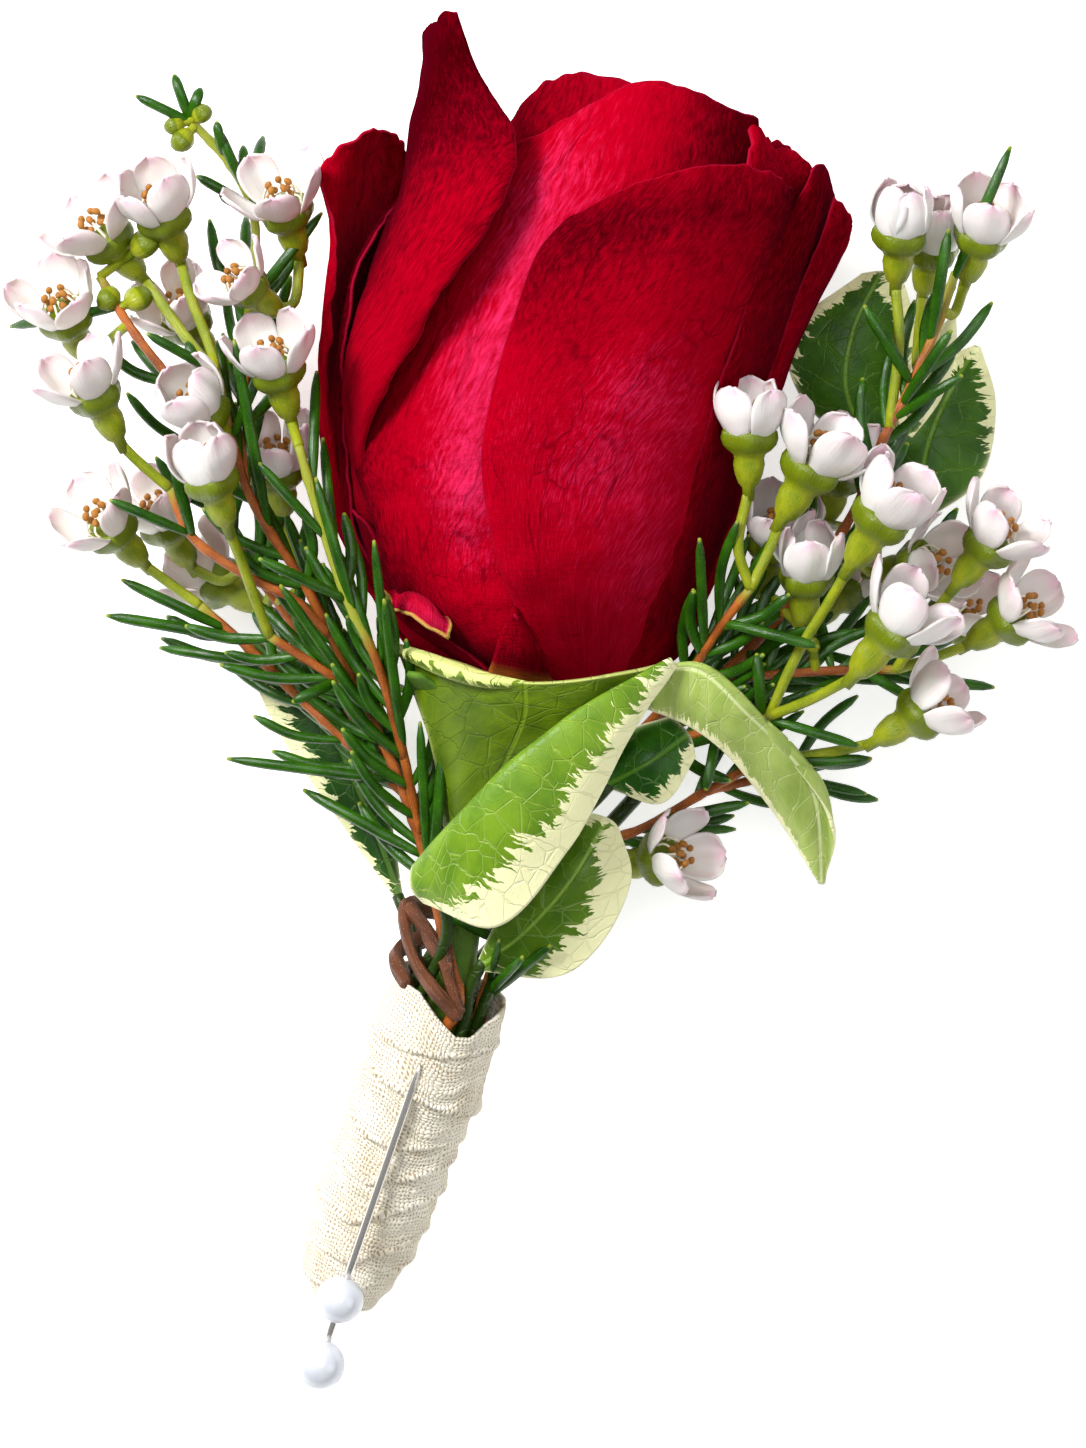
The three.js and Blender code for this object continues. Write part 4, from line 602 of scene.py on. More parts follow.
RAGGED = {"petal_tall_left": 0.8, "petal_far_left": 0.9, "petal_back_top": 0.9,
          "petal_crumpled_tip": 1.6,
          "petal_crumpled_fold": 1.8, "petal_curled_tip": 0.6, "petal_low_middle": 0.3}
ROSE_FINISHES = {"petal_low_middle": rose_foot_finish, "petal_curled_tip": rose_tip_finish}
# No petal comes nearer to the table than this
TABLE_GAP = 0.5
for seed, (name, ribs) in enumerate(FRONT_PETALS.items()):
    along, across, wrinkle = PETAL_GRIDS[name]
    lines = [[over_bud(p) for p in rib] for rib in ribs]
    if name not in ("petal_curled_tip", "petal_low_middle"):
        lines = [with_foot(line) for line in lines]
    grid = petal_grid(lines, along, across, seed + 1, wrinkle, RAGGED.get(name, 0.4))
    grid[..., 2] = np.maximum(grid[..., 2], TABLE_GAP)
    reach, span = length_of(grid[:, across // 2]), length_of(grid[int(along * 0.6)])
    thickness = petal_thickness(along + 1, across + 1)
    points, faces, uvs, rim = sheet_arrays(grid, thickness, span, reach)
    # Each petal's painted light and shade goes onto its points as "tone"
    from_left, from_foot = (np.array(marks) for marks in PAINTED_PETAL_SHADING[name])
    tone = (np.interp(np.linspace(0, 1, across + 1), from_left[:, 0], from_left[:, 1])[None, :]
            + np.interp(np.linspace(0, 1, along + 1), from_foot[:, 0], from_foot[:, 1])[:, None])
    petal = new_piece(name, ROSE_FINISHES.get(name, rose_finish), points, faces, uvs,
                      {"edge": rim, "tone": np.tile(tone.ravel(), 2)})

ROUND_CELLS = 44
inner = []
for k, petal in enumerate(ROUND_PETALS):
    grid = petal_grid(round_petal(*petal), ROUND_CELLS, ROUND_CELLS, 20 + k, 0.2)
    grid[..., 2] = np.maximum(grid[..., 2], TABLE_GAP)
    thickness = petal_thickness(ROUND_CELLS + 1, ROUND_CELLS + 1)
    inner.append(sheet_arrays(grid, thickness, 30.0, 45.0))
points, faces, uvs, rim = merged(inner)
# The inner petals carry a deep painted shade all over, tone -0.8
bloom = new_piece("petals_inner", rose_finish, points, faces, uvs,
                  {"edge": rim, "tone": np.full(len(points), -0.8)})
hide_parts("rose_petals")

# Rose hip and stem: the green swelling that carries the petals, its five sepals, and the
# woody stem below it, cut short and bound into the handle with the rest.
WRAP_TOP = np.array([-8.3, -25.6, 12.3])
WRAP_END = np.array([-18.7, -54.3, 3.5])
WRAP_WAY = WRAP_END - WRAP_TOP
WRAP_SIDE = np.array([-WRAP_WAY[1], WRAP_WAY[0], 0]) / np.hypot(WRAP_WAY[0], WRAP_WAY[1])
WRAP_UP = np.cross(WRAP_WAY, WRAP_SIDE)
WRAP_UP = WRAP_UP / np.linalg.norm(WRAP_UP) * np.sign(WRAP_UP[2])


def in_wrap(share, right, up):
    """A place in the handle: share of the way down it, and how far to its right and above."""
    return WRAP_TOP + WRAP_WAY * share + WRAP_SIDE * right + WRAP_UP * up


def frames_along(points):
    """Tangent, side and up at each point of a line, turning as little as they can."""
    points = np.asarray(points, float)
    tangents = np.gradient(points, axis=0)
    tangents /= np.linalg.norm(tangents, axis=1, keepdims=True)
    seed = np.array([0, 0, 1.0]) if abs(tangents[0][2]) < 0.9 else np.array([1.0, 0, 0])
    side = np.cross(seed, tangents[0])
    sides = []
    for tangent in tangents:
        side = side - tangent * side.dot(tangent)
        side = side / np.linalg.norm(side)
        sides.append(side)
    sides = np.array(sides)
    return tangents, sides, np.cross(tangents, sides)


def travel_along(line):
    """How far along a line each of its points lies."""
    steps = np.linalg.norm(np.diff(line, axis=0), axis=1)
    return np.concatenate([[0], np.cumsum(steps)])


def ring_faces(rings, count):
    """Quads between rings of points, then a fan at each end round a point of its own."""
    faces = []
    for k in range(rings - 1):
        for i in range(count):
            n = (i + 1) % count
            faces.append((k * count + i, k * count + n, (k + 1) * count + n, (k + 1) * count + i))
    start, last = rings * count, (rings - 1) * count
    for i in range(count):
        n = (i + 1) % count
        faces += [(start, n, i), (start + 1, last + i, last + n)]
    return faces


def tube_arrays(points, radii, count, flat=1.0, ripple=None):
    """A closed round solid along a line: points, faces, UVs in millimetres and place along it."""
    points = np.asarray(points, float)
    radii = np.broadcast_to(np.asarray(radii, float), (len(points),))
    tangents, sides, ups = frames_along(points)
    angles = np.arange(count) / count * 2 * math.pi
    rings = []
    for k, centre in enumerate(points):
        radius = radii[k] * (1 if ripple is None else 1 + ripple(k, angles))
        ring = (sides[k][None] * (radius * np.cos(angles))[:, None]
                + ups[k][None] * (radius * flat * np.sin(angles))[:, None])
        rings.append(centre + ring)
    foot = points[:1] - tangents[:1] * radii[0] * 0.35
    tip = points[-1:] + tangents[-1:] * radii[-1] * 0.5
    travel = travel_along(points)
    girth = angles * max(float(radii.mean()), 0.05)
    uv = np.array([(g, s) for s in travel for g in girth] + [(0, travel[0]), (0, travel[-1])])
    place = np.concatenate([np.repeat(travel / travel[-1], count), [0, 1]])
    return np.vstack([*rings, foot, tip]), ring_faces(len(points), count), uv, place


# Fine fibre and small pores that plant skin shows, drawn out along the stem or needle
tree, given, result = new_group("plant_skin", {"Grain": 1.0}, ["Fibre", "Pores", "Cloud"])
grained = stretched(tree, given["Place"], given["Grain"])
pore = node(tree, "ShaderNodeTexVoronoi", {"Vector": grained, "Scale": 2.6})
wire(tree, result, {
    "Fibre": noise_of(tree, scaled(tree, grained, (5.0, 0.7, 1.0)), 1.0, 4.0, 0.6),
    "Pores": steps_of(tree, pore.outputs[0], 0.08, 0.2, 1.0, 0.0),
    "Cloud": steps_of(tree, noise_of(tree, grained, 0.22, 2.0), 0.3, 0.7),
})
skin_group = tree


def plant_material(name, light, dark, tip=None, tip_from=0.9, fleck=None, rough=0.42, grain=1.0,
                   depth=0.0002):
    """Green or woody skin: two tones, fibre along it, pores, and another colour at the tip."""
    material, tree, shader = new_material(name, Specular_IOR_Level=0.32)
    skin = placed(tree, skin_group, {"Place": uv_place(tree), "Grain": grain})
    tone = plus(tree, times(tree, skin["Cloud"], 0.6), times(tree, skin["Fibre"], 0.5), True)
    shade = blend(tree, tone, light, dark)
    if fleck:
        shade = blend(tree, times(tree, skin["Pores"], 0.7), shade, fleck)
    if tip:
        tip_share = steps_of(tree, carried(tree, "place"), tip_from, min(tip_from + 0.12, 1.0))
        shade = blend(tree, tip_share, shade, tip)
    roughness = plus(tree, rough - 0.08, times(tree, skin["Fibre"], 0.2))
    wire(tree, shader, {"Base Color": shade, "Roughness": roughness})
    bumped(tree, shader, plus(tree, skin["Fibre"], times(tree, skin["Pores"], 0.4)), 0.6, depth)
    return material


stem_finish = plant_material("rose_stem_skin", colour(110, 150, 40), colour(66, 104, 26),
                             fleck=colour(150, 170, 80))
stem_line = spline([
    on_axis(-0.4, 0, 0), (-5.2, -6, 14.4), (-7, -15, 13.2),
    in_wrap(0.05, 0, -0.4), in_wrap(0.5, 0, -0.7), in_wrap(0.88, 0, -0.7),
], 40)
stem_parts = [tube_arrays(stem_line, np.linspace(2.2, 1.8, len(stem_line)), 14)]
# The hip's outline: height up the bloom's axis and radius
HIP = [(-4.5, 2.2), (-3, 3.5), (-1.2, 4.1), (-0.3, 3.6)]
hip = spline([on_axis(u, 0, 0) for u, _ in HIP], 12)
hip_radii = np.interp(np.linspace(0, len(HIP) - 1, len(hip)), range(len(HIP)), [r for _, r in HIP])
stem_parts.append(tube_arrays(hip, hip_radii, 20))
# A sepal from its root on the hip to its tip: height, radius round the axis, half its spread
SEPAL = [(-2.2, 3.2, 34), (-1.6, 6.5, 20), (-1.2, 10, 12), (0.2, 13.5, 3)]
SEPAL_THICKNESS = 0.45
for k in range(5):
    middle = 36 + 72 * k
    sepal = [[around_bud(u, middle + side * spread, radius) for u, radius, spread in SEPAL]
             for side in (-1, 0, 1)]
    stem_parts.append(sheet_arrays(surface(sepal, 18, 8), SEPAL_THICKNESS, 5.0, 11.0))
points, faces, uvs, place = merged(stem_parts)
rose_stem = new_piece("rose_stem_and_hip", stem_finish, points, faces, uvs,
                      {"place": place * 0.5})
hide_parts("rose_stem")

# Variegated leaves: leathery oval blades, green in the middle with a cream margin whose
# toothed border follows the side veins. Their stalks run down into the handle.
LEAF_THICKNESS = 0.42
LEAVES = {
    "leaf_collar": {
        "ribs": [
            [[-8.8, -10.8, 16.5], [-9.6, -5, 19.6], [-10.6, -1, 21.5], [-13, 5.5, 21.6]],
            [[-7.8, -10.9, 18.6], [-7, -4.5, 23.4], [-6.6, 0, 26.4], [-8.2, 4.2, 27.4]],
            [[-6.8, -10.8, 19], [-3, -4, 25], [-1.6, -0.2, 28.2], [-1.6, 2.2, 29.6]],
            [[-6.2, -10.6, 18.8], [1, -4.2, 25], [4.2, -0.2, 27.6], [4.8, 2.6, 29]],
            [[-5.6, -10.4, 18], [3, -5, 22.6], [8, -0.6, 24.6], [11.6, 4.1, 25]],
        ],
        "stalk": [(-7.2, -10.4, 18.2), (-8, -18, 16.9), 0.02, -3.4, 0.9],
    },
    "leaf_front": {
        "ribs": [
            [[-10, -13.4, 20], [-6, -9.6, 23.4], [-1, -5.4, 25.9], [5, -1, 27], [11, 3.4, 26.6]],
            [[-11.6, -14.4, 22.6], [-7.4, -9.6, 27], [-1.9, -4.3, 29.2], [4.6, 0.6, 29.4],
             [11.4, 4.2, 27.6]],
            [[-11.8, -16, 22.6], [-6, -13.4, 27.2], [0.2, -8.6, 28.9], [6, -2.6, 28.8],
             [11.6, 4.1, 27.3]],
            [[-10.6, -17.4, 21.6], [-4.2, -19.5, 24.4], [2.4, -12.4, 26.3], [7, -3.6, 27],
             [11.8, 3.9, 27]],
        ],
        "stalk": [(-9.6, -15.2, 21.2), (-8.6, -20, 18.6), 0.02, -2.4, 2.8],
    },
    "leaf_lower": {
        "ribs": [
            [[-6, -23.2, 16.6], [-4, -19, 18.6], [0, -14, 20.2], [4.2, -9.4, 20.6]],
            [[-6, -23.4, 16.7], [-1.4, -20.4, 19.8], [3, -15.4, 21.4], [6, -10, 20.9]],
            [[-5.8, -23.7, 16.6], [2.6, -23.6, 18.2], [7.8, -15.6, 19.4], [6.8, -10.8, 20.6]],
        ],
        "stalk": [(-5.4, -22.8, 16.9), (-6.6, -25.4, 15.8), 0.04, 2.1, 3.0],
    },
    "leaf_small": {
        "ribs": [
            [[5.4, -6.8, 21.2], [7.4, -2.4, 21.4], [11.4, -0.8, 20.8]],
            [[5.5, -7, 21.4], [9.3, -5, 22.6], [13, -2.4, 21]],
            [[5.8, -7.2, 21.2], [10.6, -8.5, 20.6], [13.6, -4.4, 20.4]],
        ],
        "stalk": [(6, -6.9, 21.3), (0, -13.8, 17.6), 0.02, 3.2, 1.6],
    },
    "leaf_right_fold": {
        "ribs": [
            [[8.6, 0.2, 23.6], [12.6, -1.4, 23.6], [15.6, -3.4, 22], [20.6, -9, 16.6],
             [24.8, -15.4, 12.6]],
            [[9.6, 2.2, 25], [13.2, 1.6, 25.6], [16.6, -1.4, 24.2], [22, -8.2, 18.6],
             [25, -15.8, 13]],
            [[10.6, 3.6, 25.4], [14, 3.8, 26.4], [18.4, 0, 24.4], [24.6, -6.6, 18.6],
             [25.2, -15.9, 13]],
            [[11, 3.8, 25], [14.8, 3.6, 25.8], [19.4, -1.6, 23], [26.2, -11, 16.2],
             [25.4, -15.8, 12.8]],
        ],
        "stalk": [(9.6, 1.4, 24.4), (4, -8, 20.4), 0.02, 2.9, -2.0],
    },
    "leaf_back_left": {
        "ribs": [
            [[-13, -17.6, 8.6], [-19.6, -8.6, 8.8], [-24.6, -1, 9], [-27.2, 5.4, 9.4]],
            [[-12.9, -17.7, 8.8], [-17.6, -7.4, 9.6], [-21.8, 0.4, 9.8], [-26.6, 6, 9.6]],
            [[-12.7, -17.8, 8.6], [-14.6, -7, 8.6], [-18.6, 2, 8.8], [-26, 6.2, 9.4]],
        ],
        "stalk": [(-13.2, -17, 8.8), (-11.6, -21.4, 9.4), 0.04, -3.2, -1.5],
    },
}
# The collar's top edge rolls over at its left and shows a mottled pale rim
COLLAR_ROLL = [
    [[-13.2, 5.7, 21.8], [-10.9, 5, 24.8], [-8, 4, 27.6], [-4.8, 2.9, 29.2], [-1, 2.1, 29.2]],
    [[-13.2, 5.2, 22.3], [-10.9, 4.4, 26], [-8.1, 3.3, 28.7], [-5, 2.4, 29.9], [-1, 2, 29.2]],
    [[-13.1, 4.8, 22], [-10.9, 3.7, 25.4], [-8.2, 2.6, 28], [-5.2, 1.9, 29.2], [-1, 1.9, 29]],
]
SPRIG_LEAVES = [
    [
        [[30, 22.4, 11], [23.4, 28, 12], [22.2, 33.6, 12.2], [28.8, 39.2, 12.4]],
        [[30.4, 22.4, 11.2], [27.4, 28.6, 13.2], [28, 34, 13.6], [30.6, 39.4, 12.6]],
        [[30.9, 22.4, 11], [32.2, 28, 12], [33.6, 34, 12.4], [32.4, 39, 12.4]],
    ],
    [
        [[33.2, 17.2, 9.6], [31.4, 23.6, 9.8], [35, 30.6, 9.6], [38.9, 32.8, 9.4]],
        [[33.8, 17.2, 9.8], [34.8, 23.6, 10.8], [37, 29, 10.6], [39.3, 32.8, 9.4]],
        [[34.6, 17, 9.6], [39.6, 20.8, 9.8], [41, 27.6, 9.6], [39.7, 32.6, 9.4]],
    ],
    [
        [[32.4, 24.6, 14.6], [31.8, 29, 15.2], [34.4, 32.6, 15.4], [36.8, 35.2, 15]],
        [[32.8, 24.6, 14.8], [33.8, 28.6, 16], [35.4, 32, 16], [37, 35.2, 15]],
        [[33.2, 24.4, 14.6], [35.8, 27.8, 15.2], [37, 31.6, 15.2], [37.2, 35, 15]],
    ],
]
SPRIG_STEM = [(3, -14, 8.6), (13, -3, 8.6), (22, 7.5, 9), (29, 17, 10), (30.4, 22.8, 11),
              (32.8, 25, 14.6)]

# Leaf pattern: side veins that slant forward from the midrib, a net between them, and the
# toothed border of the cream margin, which runs in and out along the side veins
tree, given, result = new_group(
    "leaf_pattern", {"Margin": 0.0, "Teeth": 2.4, "Net": 0.55},
    ["Cream", "Veins", "Midrib", "Cloud"])
parts = node(tree, "ShaderNodeSeparateXYZ", {0: given["Place"]})
beside = calc(tree, "ABSOLUTE", parts.outputs[0])
wander = calc(tree, "SUBTRACT", noise_of(tree, given["Place"], 0.35), 0.5)
slant = calc(tree, "SUBTRACT", parts.outputs[1], times(tree, beside, 0.75))
slant = plus(tree, slant, times(tree, wander, 3.0))
side_veins = steps_of(tree, calc(tree, "PINGPONG", slant, 1.55), 0.0, 0.13, 1.0, 0.0)
net = edge_net(tree, given["Place"], given["Net"])
net_lines = steps_of(tree, net, 0.0, 0.035, 0.75, 0.0)
comb = node(tree, "ShaderNodeCombineXYZ", {"X": slant, "Y": times(tree, parts.outputs[0], 0.22)})
teeth = calc(tree, "SUBTRACT", noise_of(tree, comb.outputs[0], 1.15, 3.0, 0.65), 0.5)
fine_teeth = calc(tree, "SUBTRACT", noise_of(tree, comb.outputs[0], 3.4, 1.0, 0.5), 0.5)
reach = times(tree, teeth, times(tree, given["Teeth"], 2.6))
reach = plus(tree, reach, times(tree, fine_teeth, 1.1))
wire(tree, result, {
    "Cream": steps_of(tree, plus(tree, given["Margin"], reach), -0.05, 0.05),
    "Veins": calc(tree, "MAXIMUM", side_veins, net_lines),
    "Midrib": steps_of(tree, beside, 0.08, 0.3, 1.0, 0.0),
    "Cloud": steps_of(tree, noise_of(tree, given["Place"], 0.3, 3.0), 0.3, 0.7),
})
leaf_group = tree
# The points of a stalk carry this in place of their distance into the cream
STALK_MARK = -99.0


def leaf_material(name, light, dark, vein, cream=colour(250, 248, 200), rough=0.38, net=0.5,
                  vein_share=0.5, teeth=2.4):
    material, tree, shader = new_material(name, Specular_IOR_Level=0.3)
    place, margin = uv_place(tree), carried(tree, "margin")
    stalk = steps_of(tree, margin, STALK_MARK + 9, STALK_MARK + 19, 1.0, 0.0)
    leaf = placed(tree, leaf_group, {
        "Place": place, "Margin": margin, "Net": net, "Teeth": teeth,
    })
    fine = noise_of(tree, place, 3.0, 3.0, 0.6)
    cloudy = plus(tree, times(tree, leaf["Cloud"], 0.7), times(tree, fine, 0.3))
    green = blend(tree, cloudy, light, dark)
    green = blend(tree, times(tree, leaf["Veins"], vein_share), green, vein)
    green = blend(tree, times(tree, leaf["Midrib"], 0.8), green, vein)
    pale = blend(tree, fine, cream, blend(tree, 0.5, cream, colour(232, 234, 160)))
    pale = blend(tree, times(tree, leaf["Veins"], 0.16), pale, colour(206, 214, 140))
    skin = blend(tree, leaf["Cream"], green, pale)
    skin = blend(tree, times(tree, carried(tree, "rim"), 0.8), skin, cream)
    skin = blend(tree, stalk, skin, blend(tree, fine, colour(48, 74, 10), colour(22, 42, 4)))
    roughness = plus(tree, rough - 0.06, times(tree, fine, 0.18))
    wire(tree, shader, {"Base Color": skin, "Roughness": roughness})
    sunk = plus(tree, times(tree, fine, 0.35), times(tree, leaf["Veins"], -0.6))
    sunk = plus(tree, sunk, times(tree, leaf["Midrib"], -0.9))
    bumped(tree, shader, sunk, 0.5, 0.0003)
    return material


def leaf_arrays(ribs, along, across, left, right, midrib, seed, wave=0.25):
    """A leaf blade with UVs measured from its midrib and, per point, how far it is into the cream.

    left and right say where the cream starts across the leaf, at five places from foot to tip."""
    grid = surface(ribs, along, across)
    normal = normals_of(grid)
    grid = grid + normal * (noise_grid(grid, 5.0, seed) * wave)[..., None]
    u = np.linspace(0, 1, across + 1)[None, :]
    v = np.linspace(0, 1, along + 1)[:, None]
    width = np.linalg.norm(np.diff(grid, axis=1), axis=2).sum(axis=1)[:, None]
    length = length_of(grid[:, across // 2])
    marks = np.linspace(0, 1, len(left))
    margin = np.maximum(np.interp(v, marks, left) - u, u - np.interp(v, marks, right)) * width
    points, faces, _, _ = sheet_arrays(grid, LEAF_THICKNESS, 1, 1)
    uv = np.stack([(u - midrib) * width, v * length + 0 * u], axis=-1).reshape(-1, 2)
    side = np.minimum(np.minimum(u, 1 - u) * width, np.minimum(v, 1 - v) * length)
    rim = np.exp(-side / 0.14).ravel()
    return points, faces, np.vstack([uv, uv]), np.tile(margin.ravel(), 2), np.tile(rim, 2)


def add_leaf(name, blades, stalks, finish, replaced):
    """One leaf or sprig: its blades, then its stalks, in one piece."""
    parts = list(blades)
    for line, radii in stalks:
        points, faces, uvs, _ = tube_arrays(line, radii, 8)
        parts.append((points, faces, uvs, np.full(len(points), STALK_MARK), np.zeros(len(points))))
    points, faces, uvs, margin, rim = merged(parts)
    leaf = new_piece(name, finish, points, faces, uvs, {"margin": margin, "rim": rim})
    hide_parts(replaced)


LEAF_STALK_RADIUS = 0.55
STALK_TUCK = 0.12


def leaf_stalk(root, bend, share, right, up):
    """A stalk from the blade into the handle: its line and its radius."""
    ends = [in_wrap(share, right, up), in_wrap(share + STALK_TUCK, right, up)]
    return spline([root, bend, *ends], 16), LEAF_STALK_RADIUS


# Where the cream starts on the left and on the right edge, and where the midrib runs. The
# collar, seen from its underside, has no cream
LEAF_LOOKS = {
    "leaf_collar": ([-1] * 5, [2] * 5, 0.5),
    "leaf_front": ([-0.3, -0.3, -0.3, -0.3, -0.1], [0.94, 0.8, 0.72, 0.66, 0.5], 0.06),
    "leaf_lower": ([-0.2, -0.2, -0.2, -0.1, 0.2], [0.96, 0.86, 0.74, 0.62, 0.4], 0.45),
    "leaf_small": ([-0.2, -0.2, -0.3, -0.2, 0.0], [0.96, 0.84, 0.86, 0.84, 0.6], 0.5),
    "leaf_right_fold": ([0.0, 0.04, 0.1, 0.1, 0.2], [1.2, 1.2, 1.2, 1.2, 0.9], 0.56),
    "leaf_back_left": ([0.05, 0.16, 0.24, 0.22, 0.2], [1.2, 1.2, 1.2, 1.2, 1.2], 0.62),
}
leaf_finishes = {
    "leaf_collar": leaf_material(
        "collar_leaf_underside", colour(106, 132, 6), colour(62, 88, 2), colour(112, 138, 12),
        colour(208, 218, 124), rough=0.5, net=0.3, vein_share=0.1),
    "leaf_front": leaf_material(
        "front_leaf_face", colour(124, 160, 34), colour(80, 122, 18), colour(170, 194, 86),
        teeth=3.2),
    "leaf_lower": leaf_material(
        "lower_leaf_face", colour(98, 136, 18), colour(56, 96, 8), colour(140, 176, 66)),
    "leaf_small": leaf_material(
        "small_leaf_face", colour(46, 104, 12), colour(16, 62, 4), colour(92, 140, 40),
        rough=0.3),
    "leaf_right_fold": leaf_material(
        "folded_leaf_underside", colour(178, 197, 106), colour(136, 162, 66),
        colour(214, 226, 160), rough=0.5, vein_share=0.4, teeth=1.2),
    "leaf_back_left": leaf_material(
        "back_leaf_face", colour(44, 90, 22), colour(20, 56, 10), colour(100, 140, 60)),
}
for seed, (name, leaf) in enumerate(LEAVES.items()):
    left, right, midrib = LEAF_LOOKS[name]
    blades = [leaf_arrays(leaf["ribs"], 90, 60, left, right, midrib, seed)]
    if name == "leaf_collar":
        blades.append(leaf_arrays(COLLAR_ROLL, 60, 12, [0.7] * 5, [1.5] * 5, 0.5, seed, 0.1))
    add_leaf(name + "_blade", blades, [leaf_stalk(*leaf["stalk"])], leaf_finishes[name], name)

sprig_finish = leaf_material("sprig_leaf_face", colour(66, 112, 10), colour(28, 70, 4),
                             colour(112, 152, 48), vein_share=0.35)
sprig_blades = [
    leaf_arrays(SPRIG_LEAVES[0], 80, 60, [-0.2, -0.1, 0.04, 0.14, 0.4], [1.2, 1.1, 1.0, 0.86, 0.5],
                0.5, 11),
    leaf_arrays(SPRIG_LEAVES[1], 80, 60, [-0.2, -0.1, 0.12, 0.38, 0.7], [1.2, 1.1, 0.94, 0.8, 0.4],
                0.5, 12),
    leaf_arrays(SPRIG_LEAVES[2], 60, 40, [0.2, 0.4, 0.6, 0.8, 1], [0.8, 0.6, 0.5, 0.4, 0], 0.5, 13),
]
sprig_stalks = [
    (spline([in_wrap(0.2, 0.6, -3.3), in_wrap(0.02, 0.6, -3.3), *SPRIG_STEM], 50),
     np.linspace(0.8, 0.55, 51)),
    (spline([(29, 17, 10), (32, 16.4, 9.8), (34, 18, 9.8)], 10), 0.5),
]
add_leaf("leaf_sprig", sprig_blades, sprig_stalks, sprig_finish, "leaf_sprig_back")

# Waxflower sprays: forking twigs with paired needles, and on each green stalk a waxy cup that
# holds five rounded white petals round a ring of stamens. Every part grew on the twig.
LEFT_TWIGS = {
    "main": [0.85, 0.5, [(-7.6, -26.6, 16.1), (-8.6, -22, 16.5), (-10.9, -12.4, 17),
                         (-13.5, -5.1, 18), (-16.4, 1, 19.4), (-20.8, 10.1, 22), (-26.2, 19, 24),
                         (-29.2, 30, 24.5)]],
    "outer": [0.6, 0.45, [(-27, 21, 24.1), (-32.5, 28.3, 22.8), (-36.9, 34, 21.4),
                          (-39.7, 38.6, 20.4)]],
    "cross": [0.55, 0.45, [(-19.2, 6.6, 21.2), (-22.2, 9.6, 22), (-26.2, 11.6, 22.2),
                           (-31.4, 15.3, 21.8), (-33.4, 19.6, 21.4)]],
    "low": [0.65, 0.5, [(-12.6, -7.6, 17.3), (-18.7, -2.1, 16.6), (-22.7, 1.6, 16),
                        (-26, 4.9, 15.6), (-30.9, 9.2, 15)]],
    "short": [0.5, 0.45, [(-15.4, -1, 18.7), (-17.8, 1.9, 19.6), (-24.5, 6.4, 21)]],
    "inner": [0.6, 0.45, [(-11.1, -11.2, 17.1), (-12.6, -3.6, 20), (-13.6, 0.7, 21.6)]],
    "green": [0.5, 0.45, [(-12.4, -4.6, 19.6), (-14.9, 4.3, 24.4), (-17.4, 9.5, 25.6),
                          (-19.6, 15.9, 26.6), (-21.7, 23.2, 27)]],
    "top": [0.6, 0.4, [(-26.6, 20, 24), (-26.6, 33, 20), (-25.9, 44, 18.6), (-28, 48.6, 19.4),
                       (-31.6, 52.6, 20.6)]],
    "back": [0.65, 0.4, [(-11.6, -9, 17), (-17, -1, 12.4), (-23, 8, 9.6), (-29, 17, 10),
                         (-31.4, 25, 12.6)]],
}
RIGHT_TWIGS = {
    "main": [0.85, 0.45, [(-5.4, -26.4, 12.6), (0, -13, 12.4), (8, -3, 13.6), (15.5, 2.5, 15),
                          (22, 9, 17), (27.8, 17.4, 18.6), (30.3, 23.6, 20), (32.7, 28.3, 20.6),
                          (35.5, 34.7, 21.2), (36.9, 38.9, 21.4)]],
    "inner": [0.6, 0.5, [(8, -3, 13.6), (12.6, 2, 18.4), (15.2, 6.3, 22), (18.5, 10.6, 24.2)]],
    "mid": [0.55, 0.45, [(15.5, 2.5, 15), (20, 2.9, 17), (26, 3.3, 18), (31.7, 3.4, 18.6)]],
    "front": [0.6, 0.5, [(8, -3, 13.6), (14, -2.4, 17), (20.2, -0.8, 21.4)]],
    "low": [0.6, 0.45, [(0.6, -12, 12.5), (7.4, -11.5, 13.6), (14.8, -7.5, 15),
                        (19.4, -4.9, 16.6)]],
    "fork": [0.5, 0.4, [(14.8, -7.5, 15), (19.5, -6.4, 13.6), (24.6, -5, 12)]],
    "back": [0.6, 0.4, [(8, -3, 13.6), (16, 0, 11), (24, 4.4, 10), (31, 8, 10.4), (35.6, 12, 12)]],
}
